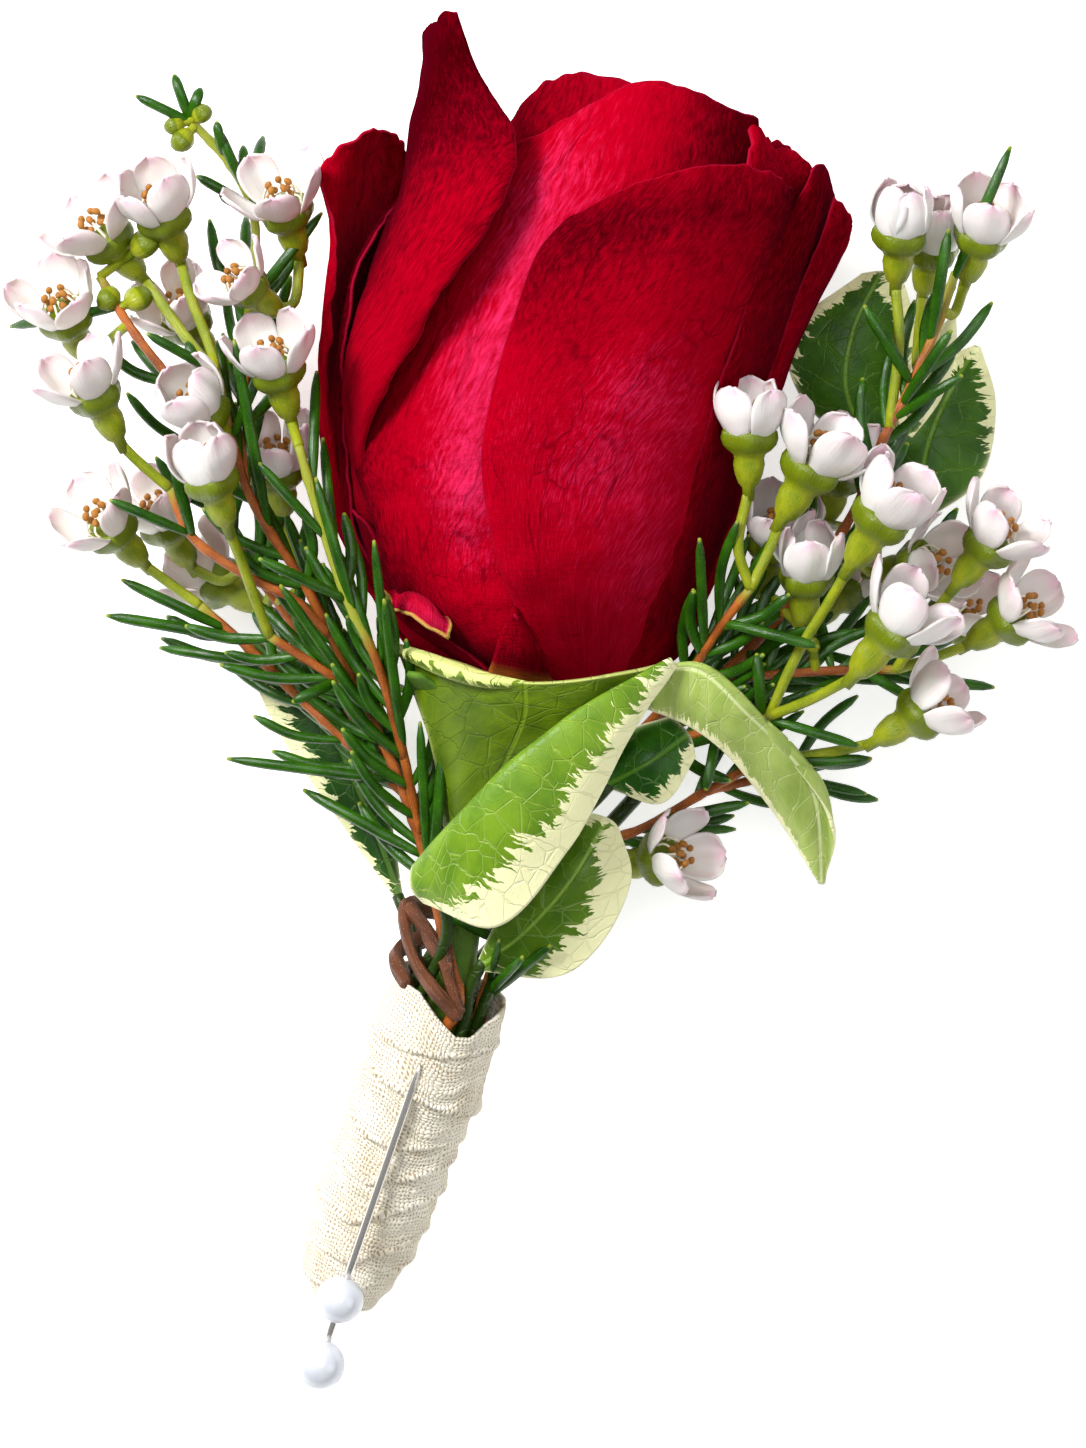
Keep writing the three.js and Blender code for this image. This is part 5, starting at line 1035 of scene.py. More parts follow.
# Flowers: petals' middle, foot of the cup, how far it opens, twig, bends of the stalk, size
LEFT_FLOWERS = [
    ((-40.5, 43.6, 22), (-36, 38.6), 0.95, "main", [(-30.9, 31.8)], 1),
    ((-34.5, 45.8, 25), (-32.5, 40), 0.5, "main", [(-31.6, 37), (-29.6, 31.8)], 1),
    ((-43.7, 36.8, 20), (-41.2, 31.6), 0.8, "outer", [], 1),
    ((-41, 30, 25), (-37.9, 23.9), 0.9, "cross", [(-36.5, 22.3)], 1),
    ((-27.6, 38.4, 28), (-23.4, 35.2), 0.95, "top", [], 0.82),
    ((-23.6, 46.4, 23), (-21.9, 40.6), 0.9, "top", [(-22.6, 36)], 1),
    ((-24.2, 32, 29), (-22.5, 25.8), 0.7, "green", [], 1),
    ((-31.4, 27.8, 27), (-28, 23), 0.3, "main", [], 1),
    ((-30.1, 22.4, 30), (-28.1, 16.2), 0.3, "short", [(-27, 13.4), (-25.8, 10)], 1),
    ((-40.2, 17.6, 19), (-36, 13), 0.9, "low", [], 1),
    ((-35.2, 18.6, 12), (-32, 13), 0.7, "back", [(-29, 11.5)], 1),
    ((-33.2, 36.6, 16), (-30, 31.4), 0.7, "top", [], 1),
    ((-31.5, 12.6, 5.2), (-26, 9.4), 0.8, "back", [], -1),
    ((-24, 23.6, 16), (-23.4, 17.4), 0.6, "back", [(-22, 11)], 1),
]
RIGHT_FLOWERS = [
    ((18.4, 26.6, 27.5), (18.3, 19.6), 0.4, "inner", [(17.4, 14.3)], 1),
    ((25.2, 23.6, 27), (21.3, 16.8), 0.8, "inner", [(20.2, 14.1)], 1.12),
    ((31.6, 19, 28), (27.4, 12.6), 0.6, "front", [(25.4, 9.2), (22.8, 4.9)], 1.12),
    ((35.8, 13, 16), (30, 12.2), 0.8, "main", [], 1),
    ((23.7, 13.9, 21.8), (23.3, 7.4), 0.35, "main", [], 1),
    ((32.8, 8.9, 29), (27.7, 2.9), 0.8, "front", [(23.7, 0.6)], 1.12),
    ((41.2, 16.4, 24), (37, 11), 0.85, "mid", [(34, 7)], 1),
    ((44, 9.2, 19), (38.3, 5.7), 0.95, "mid", [(34.6, 4.3)], 1),
    ((35.8, 0.8, 22), (29.8, -3), 0.8, "low", [(26.5, -3.9)], 1),
    ((12.6, -13.2, 17.6), (6.6, -14.4), 0.9, "low", [], 1),
    ((32.1, 44.4, 24), (31.6, 38), 0.05, "main", [(31.9, 33), (30.9, 25.2)], 1),
    ((35.4, 43.4, 17.5), (34.3, 37.4), 0.1, "main", [(33.6, 30.8)], 1),
    ((39.8, 44.2, 23), (37.9, 38.2), 0.55, "main", [(36.7, 35.2)], 1),
    ((21.2, 17, 17), (19.6, 11), 0.6, "main", [], 1),
    ((27.2, 23.2, 15), (25.6, 17), 0.6, "main", [], 1),
    ((29.2, 12.4, 5.2), (24.6, 8), 0.8, "back", [], -1),
    ((38.8, 9.6, 9), (34, 5.4), 0.8, "back", [], 1),
]
LEFT_BUDS = [(-32.3, 50.8, 21, 1.05), (-33, 52.1, 21, 0.85), (-30.5, 53.1, 21.6, 0.9),
             (-38.9, 36.6, 21, 1.1), (-36.3, 36.6, 20.2, 1.2), (-35.6, 41.4, 22.4, 1.3)]
RIGHT_BUDS = [(24.2, 5.6, 18.6, 0.7)]
# Needles that can be told apart: twig, foot, tip and the rise of the tip
LEFT_NEEDLES = [
    ("top", (-31.2, 52.3), (-36.4, 54.7), 1), ("top", (-31.3, 53.3), (-33, 56.6), 1),
    ("top", (-31.3, 53.6), (-30.6, 55.4), 1), ("top", (-28.6, 49.4), (-29.2, 52.4), 2),
    ("top", (-26, 46.6), (-26.9, 50.4), 0), ("top", (-25.8, 46), (-25.2, 51.4), -3),
    ("top", (-26.4, 46.8), (-29.1, 51.8), 2), ("top", (-27.2, 44.1), (-29, 46), 1),
    ("top", (-25.6, 44), (-26.2, 49), -1), ("top", (-27, 44.6), (-31, 47.6), 2),
    ("outer", (-38.4, 35.6), (-48.1, 34.4), -8), ("main", (-29, 30), (-35.2, 33.2), 3),
    ("top", (-26.4, 36), (-19.8, 44.3), 1), ("cross", (-31.2, 15.3), (-33, 22.3), 4),
    ("cross", (-31.7, 15.4), (-38.6, 18.5), 3), ("low", (-28.4, 7), (-37.9, 11.5), 1),
    ("low", (-27.6, 6.4), (-39.3, 8.3), 0), ("low", (-25, 4), (-34.6, 5.4), -2),
    ("green", (-17.4, 9.6), (-25.2, 13.2), 3), ("inner", (-13.4, 0), (-15, 14.8), 7.4),
    ("inner", (-12.4, -4), (-14.1, 9.6), 8.6), ("main", (-9.8, -16), (-9, -3.9), 3.6),
    ("main", (-10.3, -14.4), (-11, -1.3), 4.4), ("main", (-13, -6.6), (-28.4, -4.6), -1),
    ("main", (-10.6, -13.4), (-21.6, -7.4), -2), ("main", (-16, 0), (-23.4, 10.9), 6),
    ("short", (-18.6, 2.2), (-22.4, 0.5), 2), ("main", (-9.4, -18), (-4, -21), -1.6),
    ("main", (-27.6, 24), (-24.6, 31), 2), ("main", (-24, 16), (-27.4, 32.6), 5.4),
    ("green", (-19.4, 15), (-25.2, 21.7), 2), ("green", (-16.9, 8), (-20.2, 20.4), 2),
    ("green", (-15.4, 5), (-18.2, 14), 0), ("green", (-18.4, 12), (-19.4, 24), -2),
    ("back", (-22, 7), (-21.4, 17), 4), ("back", (-20, 4), (-19.8, 13), 4),
    ("green", (-20.6, 19), (-20.2, 30), -3), ("back", (-25, 12), (-21.6, 24), 6),
    ("back", (-28, 16), (-25, 28), 6),
]
RIGHT_NEEDLES = [
    ("inner", (14.6, 5), (18.5, 15.5), -2), ("inner", (15.5, 6), (21.5, 16.5), -3),
    ("mid", (20, 3), (23.5, 14), -3), ("mid", (22, 3.5), (27, 13), -4),
    ("mid", (24, 3.5), (29.5, 10), -4), ("inner", (14, 3), (22, 9), -3),
    ("mid", (19, 3), (17.5, 12), -4), ("mid", (26, 3.4), (24, 11.5), -5),
    ("front", (17, 0), (25, 6.5), -4), ("front", (18, 0), (30, 4), -5),
    ("mid", (28, 3.4), (33, 9), -4), ("main", (22, 9), (24.6, 19), 1),
    ("main", (24, 12), (30.5, 17), 2), ("mid", (27, 3.4), (37, 6), -4),
    ("inner", (14.6, 5), (13.9, 15), 7), ("inner", (16.4, 7.4), (24.5, 5.4), 3),
    ("front", (19.6, -0.9), (19.1, 4.8), 2), ("front", (19.8, -1), (28.3, -3.5), 1),
    ("low", (19, -5), (29.5, -4.6), 2), ("fork", (21, -6), (29.2, -7.8), 0),
    ("front", (15.6, -2), (14.6, -7.4), 2), ("low", (10, -10.4), (18.5, -8.6), 2),
    ("low", (8.6, -11.2), (17.4, -11), -1), ("main", (36.5, 38), (41.7, 50), 3),
    ("main", (34.6, 32.6), (36.2, 42.6), 3), ("main", (31.6, 25.8), (37.4, 29.6), 4),
    ("main", (32, 27), (36.4, 33.6), 4), ("main", (33, 29), (28.7, 35.9), 2),
    ("mid", (28.6, 3.3), (33, 0.8), -1), ("main", (3.5, -8.6), (-1.7, -22.9), 0),
    ("main", (-1.6, -16.6), (0.6, -24), -1), ("main", (-5, -28), (0.7, -21.3), 8.4),
    ("main", (-5.4, -26), (-1.8, -22.3), 9), ("main", (-5.4, -25), (-3.9, -20.8), 8.6),
]
SPRAYS = {
    "left": (LEFT_TWIGS, LEFT_FLOWERS, LEFT_BUDS, LEFT_NEEDLES,
             [in_wrap(0.42, 0.3, 3.6), in_wrap(0.12, 0.3, 3.8)], 11),
    "right": (RIGHT_TWIGS, RIGHT_FLOWERS, RIGHT_BUDS, RIGHT_NEEDLES,
              [in_wrap(0.42, 3.6, 0), in_wrap(0.12, 3.6, 0)], 29),
}
FLOWER_LENGTH = 7.2
STALK_RADIUS = 0.49
STALK_ROOM = 0.5
NEEDLE_RADIUS = 0.53
# Stalks and needles keep this far from the bud, along this stretch of its axis
ROSE_ROOM = 3.4
BUD_SPAN = (-2, 56)
FILAMENT_RADIUS = 0.11
ANTHER = (0.33, 0.42)
STAMENS = 10
BUD_STALK_RADIUS = 0.45
# Petals of a waxflower: their length, half their breadth, and where they leave the cup
PETAL_LENGTH = 5.2
PETAL_HALF = 2.05
PETAL_FOOT = (1.75, 4.7)
CUP_SIDES = 30
# Twigs that carry more needles than those named above: from and to as shares of their length
BUSHY = {
    "left": {"main": (0.08, 0.85), "low": (0.05, 0.9), "inner": (0.1, 1), "short": (0.1, 1),
             "back": (0.05, 1), "top": (0.1, 0.5), "outer": (0, 0.5), "green": (0, 0.6)},
    "right": {"main": (0.05, 0.9), "inner": (0, 0.9), "mid": (0, 1), "front": (0, 0.8),
              "low": (0, 1), "fork": (0, 1), "back": (0, 1)},
}
# No extra needles reach over the faces of the small leaf and the folded leaf: place and radius
BARE_SPOTS = [(9.4, -4.6, 6.5), (21.4, -4.2, 4)]
# The green cup's outline: distance along the flower and radius, with the rim turned in
CUP_OUTLINE = [(-1.2, 0.5), (0, 0.58), (0.4, 0.95), (1.2, 1.25), (2.1, 1.42), (2.7, 1.34),
               (3.1, 1.5), (3.5, 1.98), (4, 2.32), (4.6, 2.46), (5.2, 2.36), (5.5, 2.1),
               (5.4, 1.85), (4.9, 1.5), (4.6, 0.8)]


def clear_of_rose(point, margin):
    """The point itself, or the nearest one outside the bud where it would lie within."""
    u, v = rose_place(point[0], point[1])
    if not BUD_SPAN[0] <= u <= BUD_SPAN[1]:
        return point
    lean = bud_lean(u)
    side, depth = v - lean, (point[2] - on_axis(u, lean, 0)[2]) / ROSE_DEPTH
    reach = math.hypot(side, depth)
    need = np.interp(u, BUD_PROFILE[:, 0], BUD_PROFILE[:, 1]) + ROSE_ROOM + margin
    if reach >= need:
        return point
    stretch = need / max(reach, 0.1)
    return on_axis(u, lean + side * stretch, ROSE_DEPTH * depth * stretch)


def nearest_on(line, place):
    """The point of a line that lies nearest to a place seen from above."""
    a, b = line[:-1], line[1:]
    way = (b - a)[:, :2]
    ahead = np.sum((np.array(place[:2]) - a[:, :2]) * way, axis=1)
    share = np.clip(ahead / np.sum(way * way, axis=1), 0, 1)
    points = a + (b - a) * share[:, None]
    gaps = np.hypot(points[:, 0] - place[0], points[:, 1] - place[1])
    return points[int(np.argmin(gaps))]


def flower_frame(petals, foot, size):
    """Where a flower's axis starts, and its directions; a size below 0 turns it to the table."""
    plan = np.array(petals[:2]) - np.array(foot)
    level = min(np.linalg.norm(plan) / (FLOWER_LENGTH * abs(size)), 0.99)
    rise = math.sqrt(1 - level * level) * (-0.6 if size < 0 else 1)
    plan = plan / np.linalg.norm(plan)
    axis = np.array([plan[0] * level, plan[1] * level, rise])
    axis /= np.linalg.norm(axis)
    side = np.cross((0, 0, 1), axis)
    side /= np.linalg.norm(side)
    start = np.array(petals, float) - axis * FLOWER_LENGTH * abs(size)
    return start, axis, side, np.cross(axis, side)


def lathe_point(place, size, distance, radius, angle):
    """The point at a distance along a flower's axis and a radius round it."""
    start, axis, side, up = place
    out = side * math.cos(angle) + up * math.sin(angle)
    return start + (axis * distance + out * radius) * abs(size)


def petal_sheet(place, size, angle, opening, seed):
    """One waxflower petal: a rounded spoon on the cup's rim, cupped round the flower's axis."""
    rows, columns = 14, 12
    lean = 0.76 * opening - 0.05 + 0.14 * math.sin(seed * 2.3)
    curl = 1.3 - 0.5 * opening
    reach = np.linspace(0, 1, rows + 1)
    steps = lean + curl * (0.42 - reach)
    radius, height = (
        first + np.concatenate([[0], np.cumsum(turned(steps[:-1]) * PETAL_LENGTH / rows)])
        for first, turned in zip(PETAL_FOOT, (np.sin, np.cos))
    )
    half = PETAL_HALF + 0.16 * math.sin(seed * 4.1)
    broad = np.where(reach < 0.6, 0.95 + (half - 0.95) * np.sin(reach / 0.6 * math.pi / 2),
                     half * np.maximum(0, 1 - (np.maximum(reach - 0.6, 0) / 0.403) ** 2.5) ** 0.4)
    grid = np.zeros((rows + 1, columns + 1, 3))
    start, axis, side, up = place
    out = side * math.cos(angle) + up * math.sin(angle)
    beside = np.cross(axis, out)
    for j in range(rows + 1):
        normal = axis * math.sin(steps[j]) - out * math.cos(steps[j])
        for i in range(columns + 1):
            t = 2 * i / columns - 1
            middle = start + (axis * height[j] + out * radius[j]) * abs(size)
            cup = 0.55 * (broad[j] / 2) * t * t + 0.12 * math.cos(5 * t + seed) * reach[j]
            grid[j, i] = middle + (beside * broad[j] * t + normal * cup) * abs(size)
    grid += normals_of(grid) * (noise_grid(grid, 1.8, seed) * 0.16)[..., None]
    points, faces, uv, _ = sheet_arrays(grid, 0.2, 4.0, 4.6)
    return points, faces, uv, np.tile(np.repeat(reach, columns + 1), 2)


def cup_arrays(place, size, turn):
    """The green cup: its outline turned round the flower's axis, with five lobes at the rim."""
    angles = np.arange(CUP_SIDES) / CUP_SIDES * 2 * math.pi
    points = []
    for distance, radius in CUP_OUTLINE:
        lobe = np.clip((distance - 2.9) / 1.2, 0, 1) * 0.085
        for angle in angles:
            lobed = radius * (1 + lobe * math.cos(5 * (angle - turn)))
            points.append(lathe_point(place, size, distance, lobed, angle))
    points += [lathe_point(place, size, CUP_OUTLINE[end][0], 0, 0) for end in (0, -1)]
    rings = len(CUP_OUTLINE)
    uv = [(angle * 2, distance) for distance, _ in CUP_OUTLINE for angle in angles]
    uv = np.array(uv + [(0, 0), (0, 5)])
    shares = np.concatenate([np.repeat(np.linspace(0, 1, rings), CUP_SIDES), [0, 1]])
    return np.vstack(points), ring_faces(rings, CUP_SIDES), uv, shares


def needle_tube(root, tip, bow, seed):
    """A needle leaf: a blunt, slightly flattened rod that is thinnest where it leaves the twig."""
    middle = root + (tip - root) * 0.5 + bow
    line = spline([root, middle, tip], 9)
    taper = [0.5, 0.75, 1, 0.95, 0.7, 0.3]
    width = NEEDLE_RADIUS * np.interp(np.linspace(0, 1, 10), [0, 0.1, 0.3, 0.8, 0.95, 1], taper)
    return tube_arrays(line, width * (0.9 + 0.2 * ((seed * 0.37) % 1)), 7, 0.72)


def round_solid(centre, radii, seed, axis=(0, 0, 1)):
    """A small round body such as a bud or an anther."""
    way = np.asarray(axis, float) / np.linalg.norm(axis)
    shares = np.linspace(0.04, math.pi - 0.04, 9)
    line = [np.asarray(centre) - way * radii[1] * math.cos(share) for share in shares]
    return tube_arrays(line, [radii[0] * math.sin(share) for share in shares], 9, 1.0,
                       lambda k, angles: 0.05 * np.sin(3 * angles + seed))


twig_finish = plant_material(
    "waxflower_bark", colour(198, 110, 42), colour(116, 54, 20), colour(150, 156, 48), 0.8,
    colour(232, 170, 110), 0.26, 1.4, 0.0003)
cup_finish = plant_material(
    "waxflower_green", colour(168, 172, 34), colour(104, 126, 12), colour(104, 120, 14), 0.42,
    colour(214, 212, 108), 0.22, 1.5, 0.00025)
needle_finish = plant_material(
    "needle_green", colour(54, 108, 10), colour(16, 50, 2), colour(140, 156, 40), 0.96,
    colour(76, 136, 48), 0.24, 1.2, 0.0001)
filament_finish = plant_material("stamen_white", colour(250, 244, 226), colour(228, 214, 176),
                                 rough=0.5)
anther_finish = plant_material("anther_amber", colour(196, 132, 52), colour(92, 52, 20),
                               fleck=colour(240, 200, 120))

petal_white, tree, shader = new_material(
    "waxflower_petal", Roughness=0.38, Specular_IOR_Level=0.45, Subsurface_Weight=0.12,
    Subsurface_Scale=0.0008,
)
place, reach = uv_place(tree), carried(tree, "place")
skin = placed(tree, skin_group, {"Place": place, "Grain": 0.6})
tone = blend(tree, times(tree, skin["Cloud"], 0.6), colour(226, 222, 218), colour(210, 201, 201))
patches = steps_of(tree, noise_of(tree, place, 0.13), 0.4, 0.58)
blush = times(tree, steps_of(tree, reach, 0.5, 1.0), patches)
tone = blend(tree, times(tree, blush, 0.8), tone, colour(236, 178, 204))
tone = blend(tree, steps_of(tree, reach, 0.0, 0.16, 0.7, 0.0), tone, colour(220, 224, 150))
wire(tree, shader, {"Base Color": tone})
bumped(tree, shader, skin["Fibre"], 0.3, 0.0002)

# Extra needles: their length, their distance along the twig, how near a tip has to come to a
# flower or a drawn needle, how far towards the handle and at which heights it may lie, and how
# wide the face of each flower is kept free of them
NEEDLE_LENGTHS = (6.5, 10.5)
NEEDLE_GAPS = (1.2, 2.0)
NEEDLE_NEAR = 6.5
NEEDLE_LOWEST_Y = -24
NEEDLE_HEIGHTS = (0.8, 27)
FLOWER_FACE = 3.4


def spray_needles(lines, flowers, needles, bushy, seed):
    """The drawn needles, then pairs along the bushy twigs where flowers or needles stand near."""
    draw = np.random.default_rng(seed)
    tips = [np.array(needle[2]) for needle in needles]
    tips += [np.array(flower[0][:2]) for flower in flowers]
    pairs = []
    for name, foot, tip, rise in needles:
        root = nearest_on(lines[name], foot)
        pairs.append((root, np.array([tip[0], tip[1], root[2] + rise]), np.array([0, 0, 0.7])))
    for name, (first, last) in bushy.items():
        line = lines[name]
        travel = travel_along(line)
        s = travel[-1] * first
        turn = draw.uniform(0, math.pi)
        while s < travel[-1] * last - 0.3:
            root, ahead = (np.array([np.interp(at, travel, line[:, k]) for k in range(3)])
                           for at in (s, s + 0.5))
            way = (ahead - root) / max(np.linalg.norm(ahead - root), 1e-6)
            side = np.cross(way, (0.1, 0, 1.0))
            side /= np.linalg.norm(side)
            up = np.cross(side, way)
            for flip in (0, math.pi):
                out = side * math.cos(turn + flip) + up * math.sin(turn + flip)
                heading = way + out * (0.35 + 0.4 * draw.random())
                heading /= np.linalg.norm(heading)
                tip = root + heading * draw.uniform(*NEEDLE_LENGTHS)
                near = min(np.hypot(tip[0] - t[0], tip[1] - t[1]) for t in tips) < NEEDLE_NEAR
                over = any(math.dist(tip[:2], flower[0][:2]) < FLOWER_FACE
                           and tip[2] > flower[0][2] - 3 for flower in flowers)
                over |= any(math.dist(tip[:2], spot[:2]) < spot[2] for spot in BARE_SPOTS)
                inside = NEEDLE_LOWEST_Y < tip[1] and NEEDLE_HEIGHTS[0] < tip[2] < NEEDLE_HEIGHTS[1]
                if near and not over and out[2] < 0.25 and inside:
                    pairs.append((root, tip, out * 0.8))
            turn += math.pi / 2 + draw.uniform(-0.3, 0.3)
            s += draw.uniform(*NEEDLE_GAPS)
    return pairs


# Two twigs turn green early: what is added to the place along them that the colour follows
GREEN_TWIGS = {"green": 0.5, "top": 0.45}
TWIG_SLIM = 0.72
TWIG_LEAST = 0.42
for side_name, (twigs, flowers, buds, needles, foot_path, seed) in SPRAYS.items():
    lines = {name: spline(points, 8 * (len(points) - 1)) for name, (_, _, points) in twigs.items()}
    twig_parts = []
    for number, (name, (thick, thin, points)) in enumerate(twigs.items()):
        line = lines[name]
        if name == "main":
            line = spline([*foot_path, *points], 10 * (len(points) + 1))
        along = np.linspace(0, 1, len(line))
        from_knot = np.mod(along * len(points) * 1.7 + 0.3 * number, 1) - 0.5
        knots = 1 + 0.22 * np.exp(-((from_knot / 0.09) ** 2))
        slim = np.maximum(TWIG_SLIM * (thick + (thin - thick) * along), TWIG_LEAST)
        *tube, share = tube_arrays(line, slim * knots, 9)
        twig_parts.append((*tube, np.clip(share * 0.9 + GREEN_TWIGS.get(name, 0.0), 0, 1)))
    cups, petals, filaments, anthers = [], [], [], []
    for number, (middle, foot, opening, name, bends, size) in enumerate(flowers):
        place = flower_frame(middle, foot, size)
        bends = bends[::-1]
        joint = nearest_on(lines[name], bends[0] if bends else foot)
        stalk = [joint]
        for k, bend in enumerate(bends):
            height = joint[2] + (place[0][2] - joint[2]) * (k + 1) / (len(bends) + 1)
            point = np.array([bend[0], bend[1], height])
            if np.linalg.norm(point - stalk[-1]) >= 1:
                stalk.append(clear_of_rose(point, STALK_ROOM))
        stalk.append(lathe_point(place, size, -0.4, 0, 0))
        *tube, share = tube_arrays(spline(stalk, 12), STALK_RADIUS, 9)
        cups.append((*tube, np.full(len(share), 0.1)))
        turn = 0.3 + number * 1.1
        cups.append(cup_arrays(place, size, turn))
        for k in range(5):
            angle = turn + math.pi / 5 + k * 2 * math.pi / 5
            petals.append(petal_sheet(place, size, angle, opening, number * 5 + k))
        for k in range(STAMENS):
            angle = turn + k * 2 * math.pi / STAMENS
            lean_in = 0.55 if opening > 0.25 else 0.2
            top = 7.5 - 0.9 * (k % 2)
            outline = [(5.3, 1.7), (6.2, 1.55 + lean_in * 0.4), (top, 1.5 - lean_in)]
            line = spline([lathe_point(place, size, *spot, angle) for spot in outline], 5)
            filaments.append(tube_arrays(line, FILAMENT_RADIUS, 5))
            anthers.append(round_solid(line[-1], ANTHER, k, line[-1] - line[-2]))
        style = [lathe_point(place, size, distance, 0, 0) for distance in (4.7, 5.6, 6.6)]
        filaments.append(tube_arrays(style, [0.3, 0.16, 0.12], 7))
    for x, y, z, radius in buds:
        spots = np.vstack(list(lines.values()))
        root = spots[int(np.argmin(np.linalg.norm(spots - np.array([x, y, z]), axis=1)))]
        way = np.array([x, y, z]) - root
        cups.append(round_solid((x, y, z), (radius, radius * 1.15), 1.0, way))
        bud_stalk = spline([root, root + way * 0.6, (x, y, z)], 6)
        cups.append(tube_arrays(bud_stalk, BUD_STALK_RADIUS, 8))
    needle_parts = []
    drawn = spray_needles(lines, flowers, needles, BUSHY[side_name], seed)
    for number, (root, tip, bow) in enumerate(drawn):
        safe = clear_of_rose(tip, 0.6)
        safe[2] = max(safe[2], NEEDLE_HEIGHTS[0])
        needle_parts.append(needle_tube(root, safe, bow, number))
    kinds = {
        "twigs": (twig_parts, twig_finish, "stem"), "cups": (cups, cup_finish, "spray"),
        "needles": (needle_parts, needle_finish, "spray"),
        "petals": (petals, petal_white, "white_petal"),
        "filaments": (filaments, filament_finish, "white_petal"),
        "anthers": (anthers, anther_finish, "white_petal"),
    }
    for kind, (parts_of_kind, finish, slot) in kinds.items():
        points, faces, uvs, place = merged(parts_of_kind)
        made = new_piece(f"{side_name}_spray_{kind}", finish, points, faces, uvs, {"place": place})
        if kind == "cups":
            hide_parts(f"waxflower_{side_name}_greens")
        if kind == "petals":
            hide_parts(*[f"corolla_{side_name}_{k + 1}" for k in range(len(flowers))])

# Bark-covered wire: five flattened brown ribbons, ribbed lengthwise, that come up over the left
# of the neck and end at the mouth of the tape.
BARK_STRANDS = [
    [(-9.4, -18.4, 9.4), (-12.2, -18, 12), (-12.4, -19.8, 14), (-11.4, -23, 16),
     (-9.6, -25.6, 17.4), (-7.6, -27.8, 17.4)],
    [(-10.4, -20.6, 8.4), (-13, -22, 11.4), (-13.2, -23, 13.4), (-12.2, -25, 15.2)],
    [(-12.2, -18.1, 13), (-10.8, -19.6, 15), (-9.7, -21.6, 16.4), (-8.4, -23.6, 17.4)],
    [(-9.2, -18.6, 15), (-8.8, -21, 16.6), (-8.6, -23.6, 17.2), (-7.5, -27.4, 17.6)],
    [(-11.4, -22.6, 15.6), (-10.4, -24.6, 16.8), (-9, -26.2, 17.6), (-7.8, -27.6, 17.6)],
]
BARK_WIDTHS = [0.78, 0.8, 0.7, 0.6, 0.55]
bark_finish = plant_material(
    "bark_ribbon", colour(126, 70, 38), colour(56, 28, 14), fleck=colour(206, 168, 132),
    rough=0.4, grain=1.3, depth=0.0006)


def bark_ribs(k, angles):
    """The ribs of the bark, which turn slowly round the ribbon."""
    return 0.09 * np.cos(6 * angles + 0.12 * k) + 0.03 * np.cos(11 * angles - 0.2 * k)


bark_parts = []
for number, (strand, width) in enumerate(zip(BARK_STRANDS, BARK_WIDTHS)):
    widths = width * (1 + 0.14 * np.sin(np.linspace(0, 9, 51) + number))
    bark_parts.append(tube_arrays(spline(strand, 50), widths, 16, 0.8, bark_ribs))
points, faces, uvs, place = merged(bark_parts)
bark = new_piece("bark_ribbons", bark_finish, points, faces, uvs, {"place": place * 0.5})
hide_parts("bark_wire")

# Gauze tape: one long strip of open-weave ivory cotton wound down the stems in slanting turns
# that overlap, its folded top edge left standing round the twigs and its end tucked in below.
WRAP_RADII = [5.0, 5.3, 5.5, 5.4, 5.1, 5.1, 5.1, 5.0, 4.75, 4.2, 2.6]
WRAP_LENGTH = float(np.linalg.norm(WRAP_WAY))
TAPE_ROWS, TAPE_COLUMNS = 250, 170
TAPE_THICKNESS = 0.4
TAPE_GIRTH = 33.0
# How softly the tape swells towards a turn's edge, and how sharply it falls off past it
TURN_SWELL = 2.6
TURN_STEP = 0.22
TAPE_CLOSES = 0.97
TAPE_HALF = 5.2
# The fine ridge of the folded hem beside each turn's edge
HEM_HEIGHT = 0.12
HEM_WIDTH = 0.14
# Where each turn's edge shows on the front, from left to right, and how far it stands out
TURN_EDGES = [
    ([(-15, -28.6), (-11, -29.6), (-8, -30), (-4.8, -30.3)], 0.35),
    ([(-15.6, -30.4), (-13.7, -32.4), (-10.9, -33.7), (-8.5, -35.2), (-6.4, -36.4)], 0.6),
    ([(-17.6, -35.3), (-15.6, -37.4), (-12, -38.4), (-7.2, -38.9)], 0.4),
    ([(-19.2, -39.6), (-15.3, -41.7), (-12, -41.4), (-8, -40.6)], 0.35),
    ([(-20.2, -43.4), (-16.8, -45.3), (-13, -44.4), (-8.6, -43.4)], 0.4),
    ([(-21, -47.4), (-17.4, -49), (-13, -48.1), (-9.6, -46.8)], 0.35),
    ([(-21.4, -51), (-18, -52.3), (-14.5, -51.4), (-11.5, -50)], 0.3),
]
# The top edge, from left to right, with the notch where its two ends cross
TOP_EDGE = [(-13.6, -24.2), (-12.4, -23.9), (-10.9, -24.5), (-9.4, -26.2), (-7.4, -28.4),
            (-6.2, -28.6), (-4.6, -27.7), (-3.2, -27.4)]


def tape_share(x, y):
    """How far down the handle a place on its front lies, as a share of its length."""
    flat = WRAP_WAY[:2]
    return ((x - WRAP_TOP[0]) * flat[0] + (y - WRAP_TOP[1]) * flat[1]) / flat.dot(flat)


def tape_across(x, y):
    return (x - WRAP_TOP[0]) * WRAP_SIDE[0] + (y - WRAP_TOP[1]) * WRAP_SIDE[1]


def tape_marks(line):
    return np.array(sorted((tape_across(x, y), tape_share(x, y)) for x, y in line))


edge_marks = [(tape_marks(line), stand) for line, stand in TURN_EDGES]
top_marks = tape_marks(TOP_EDGE)

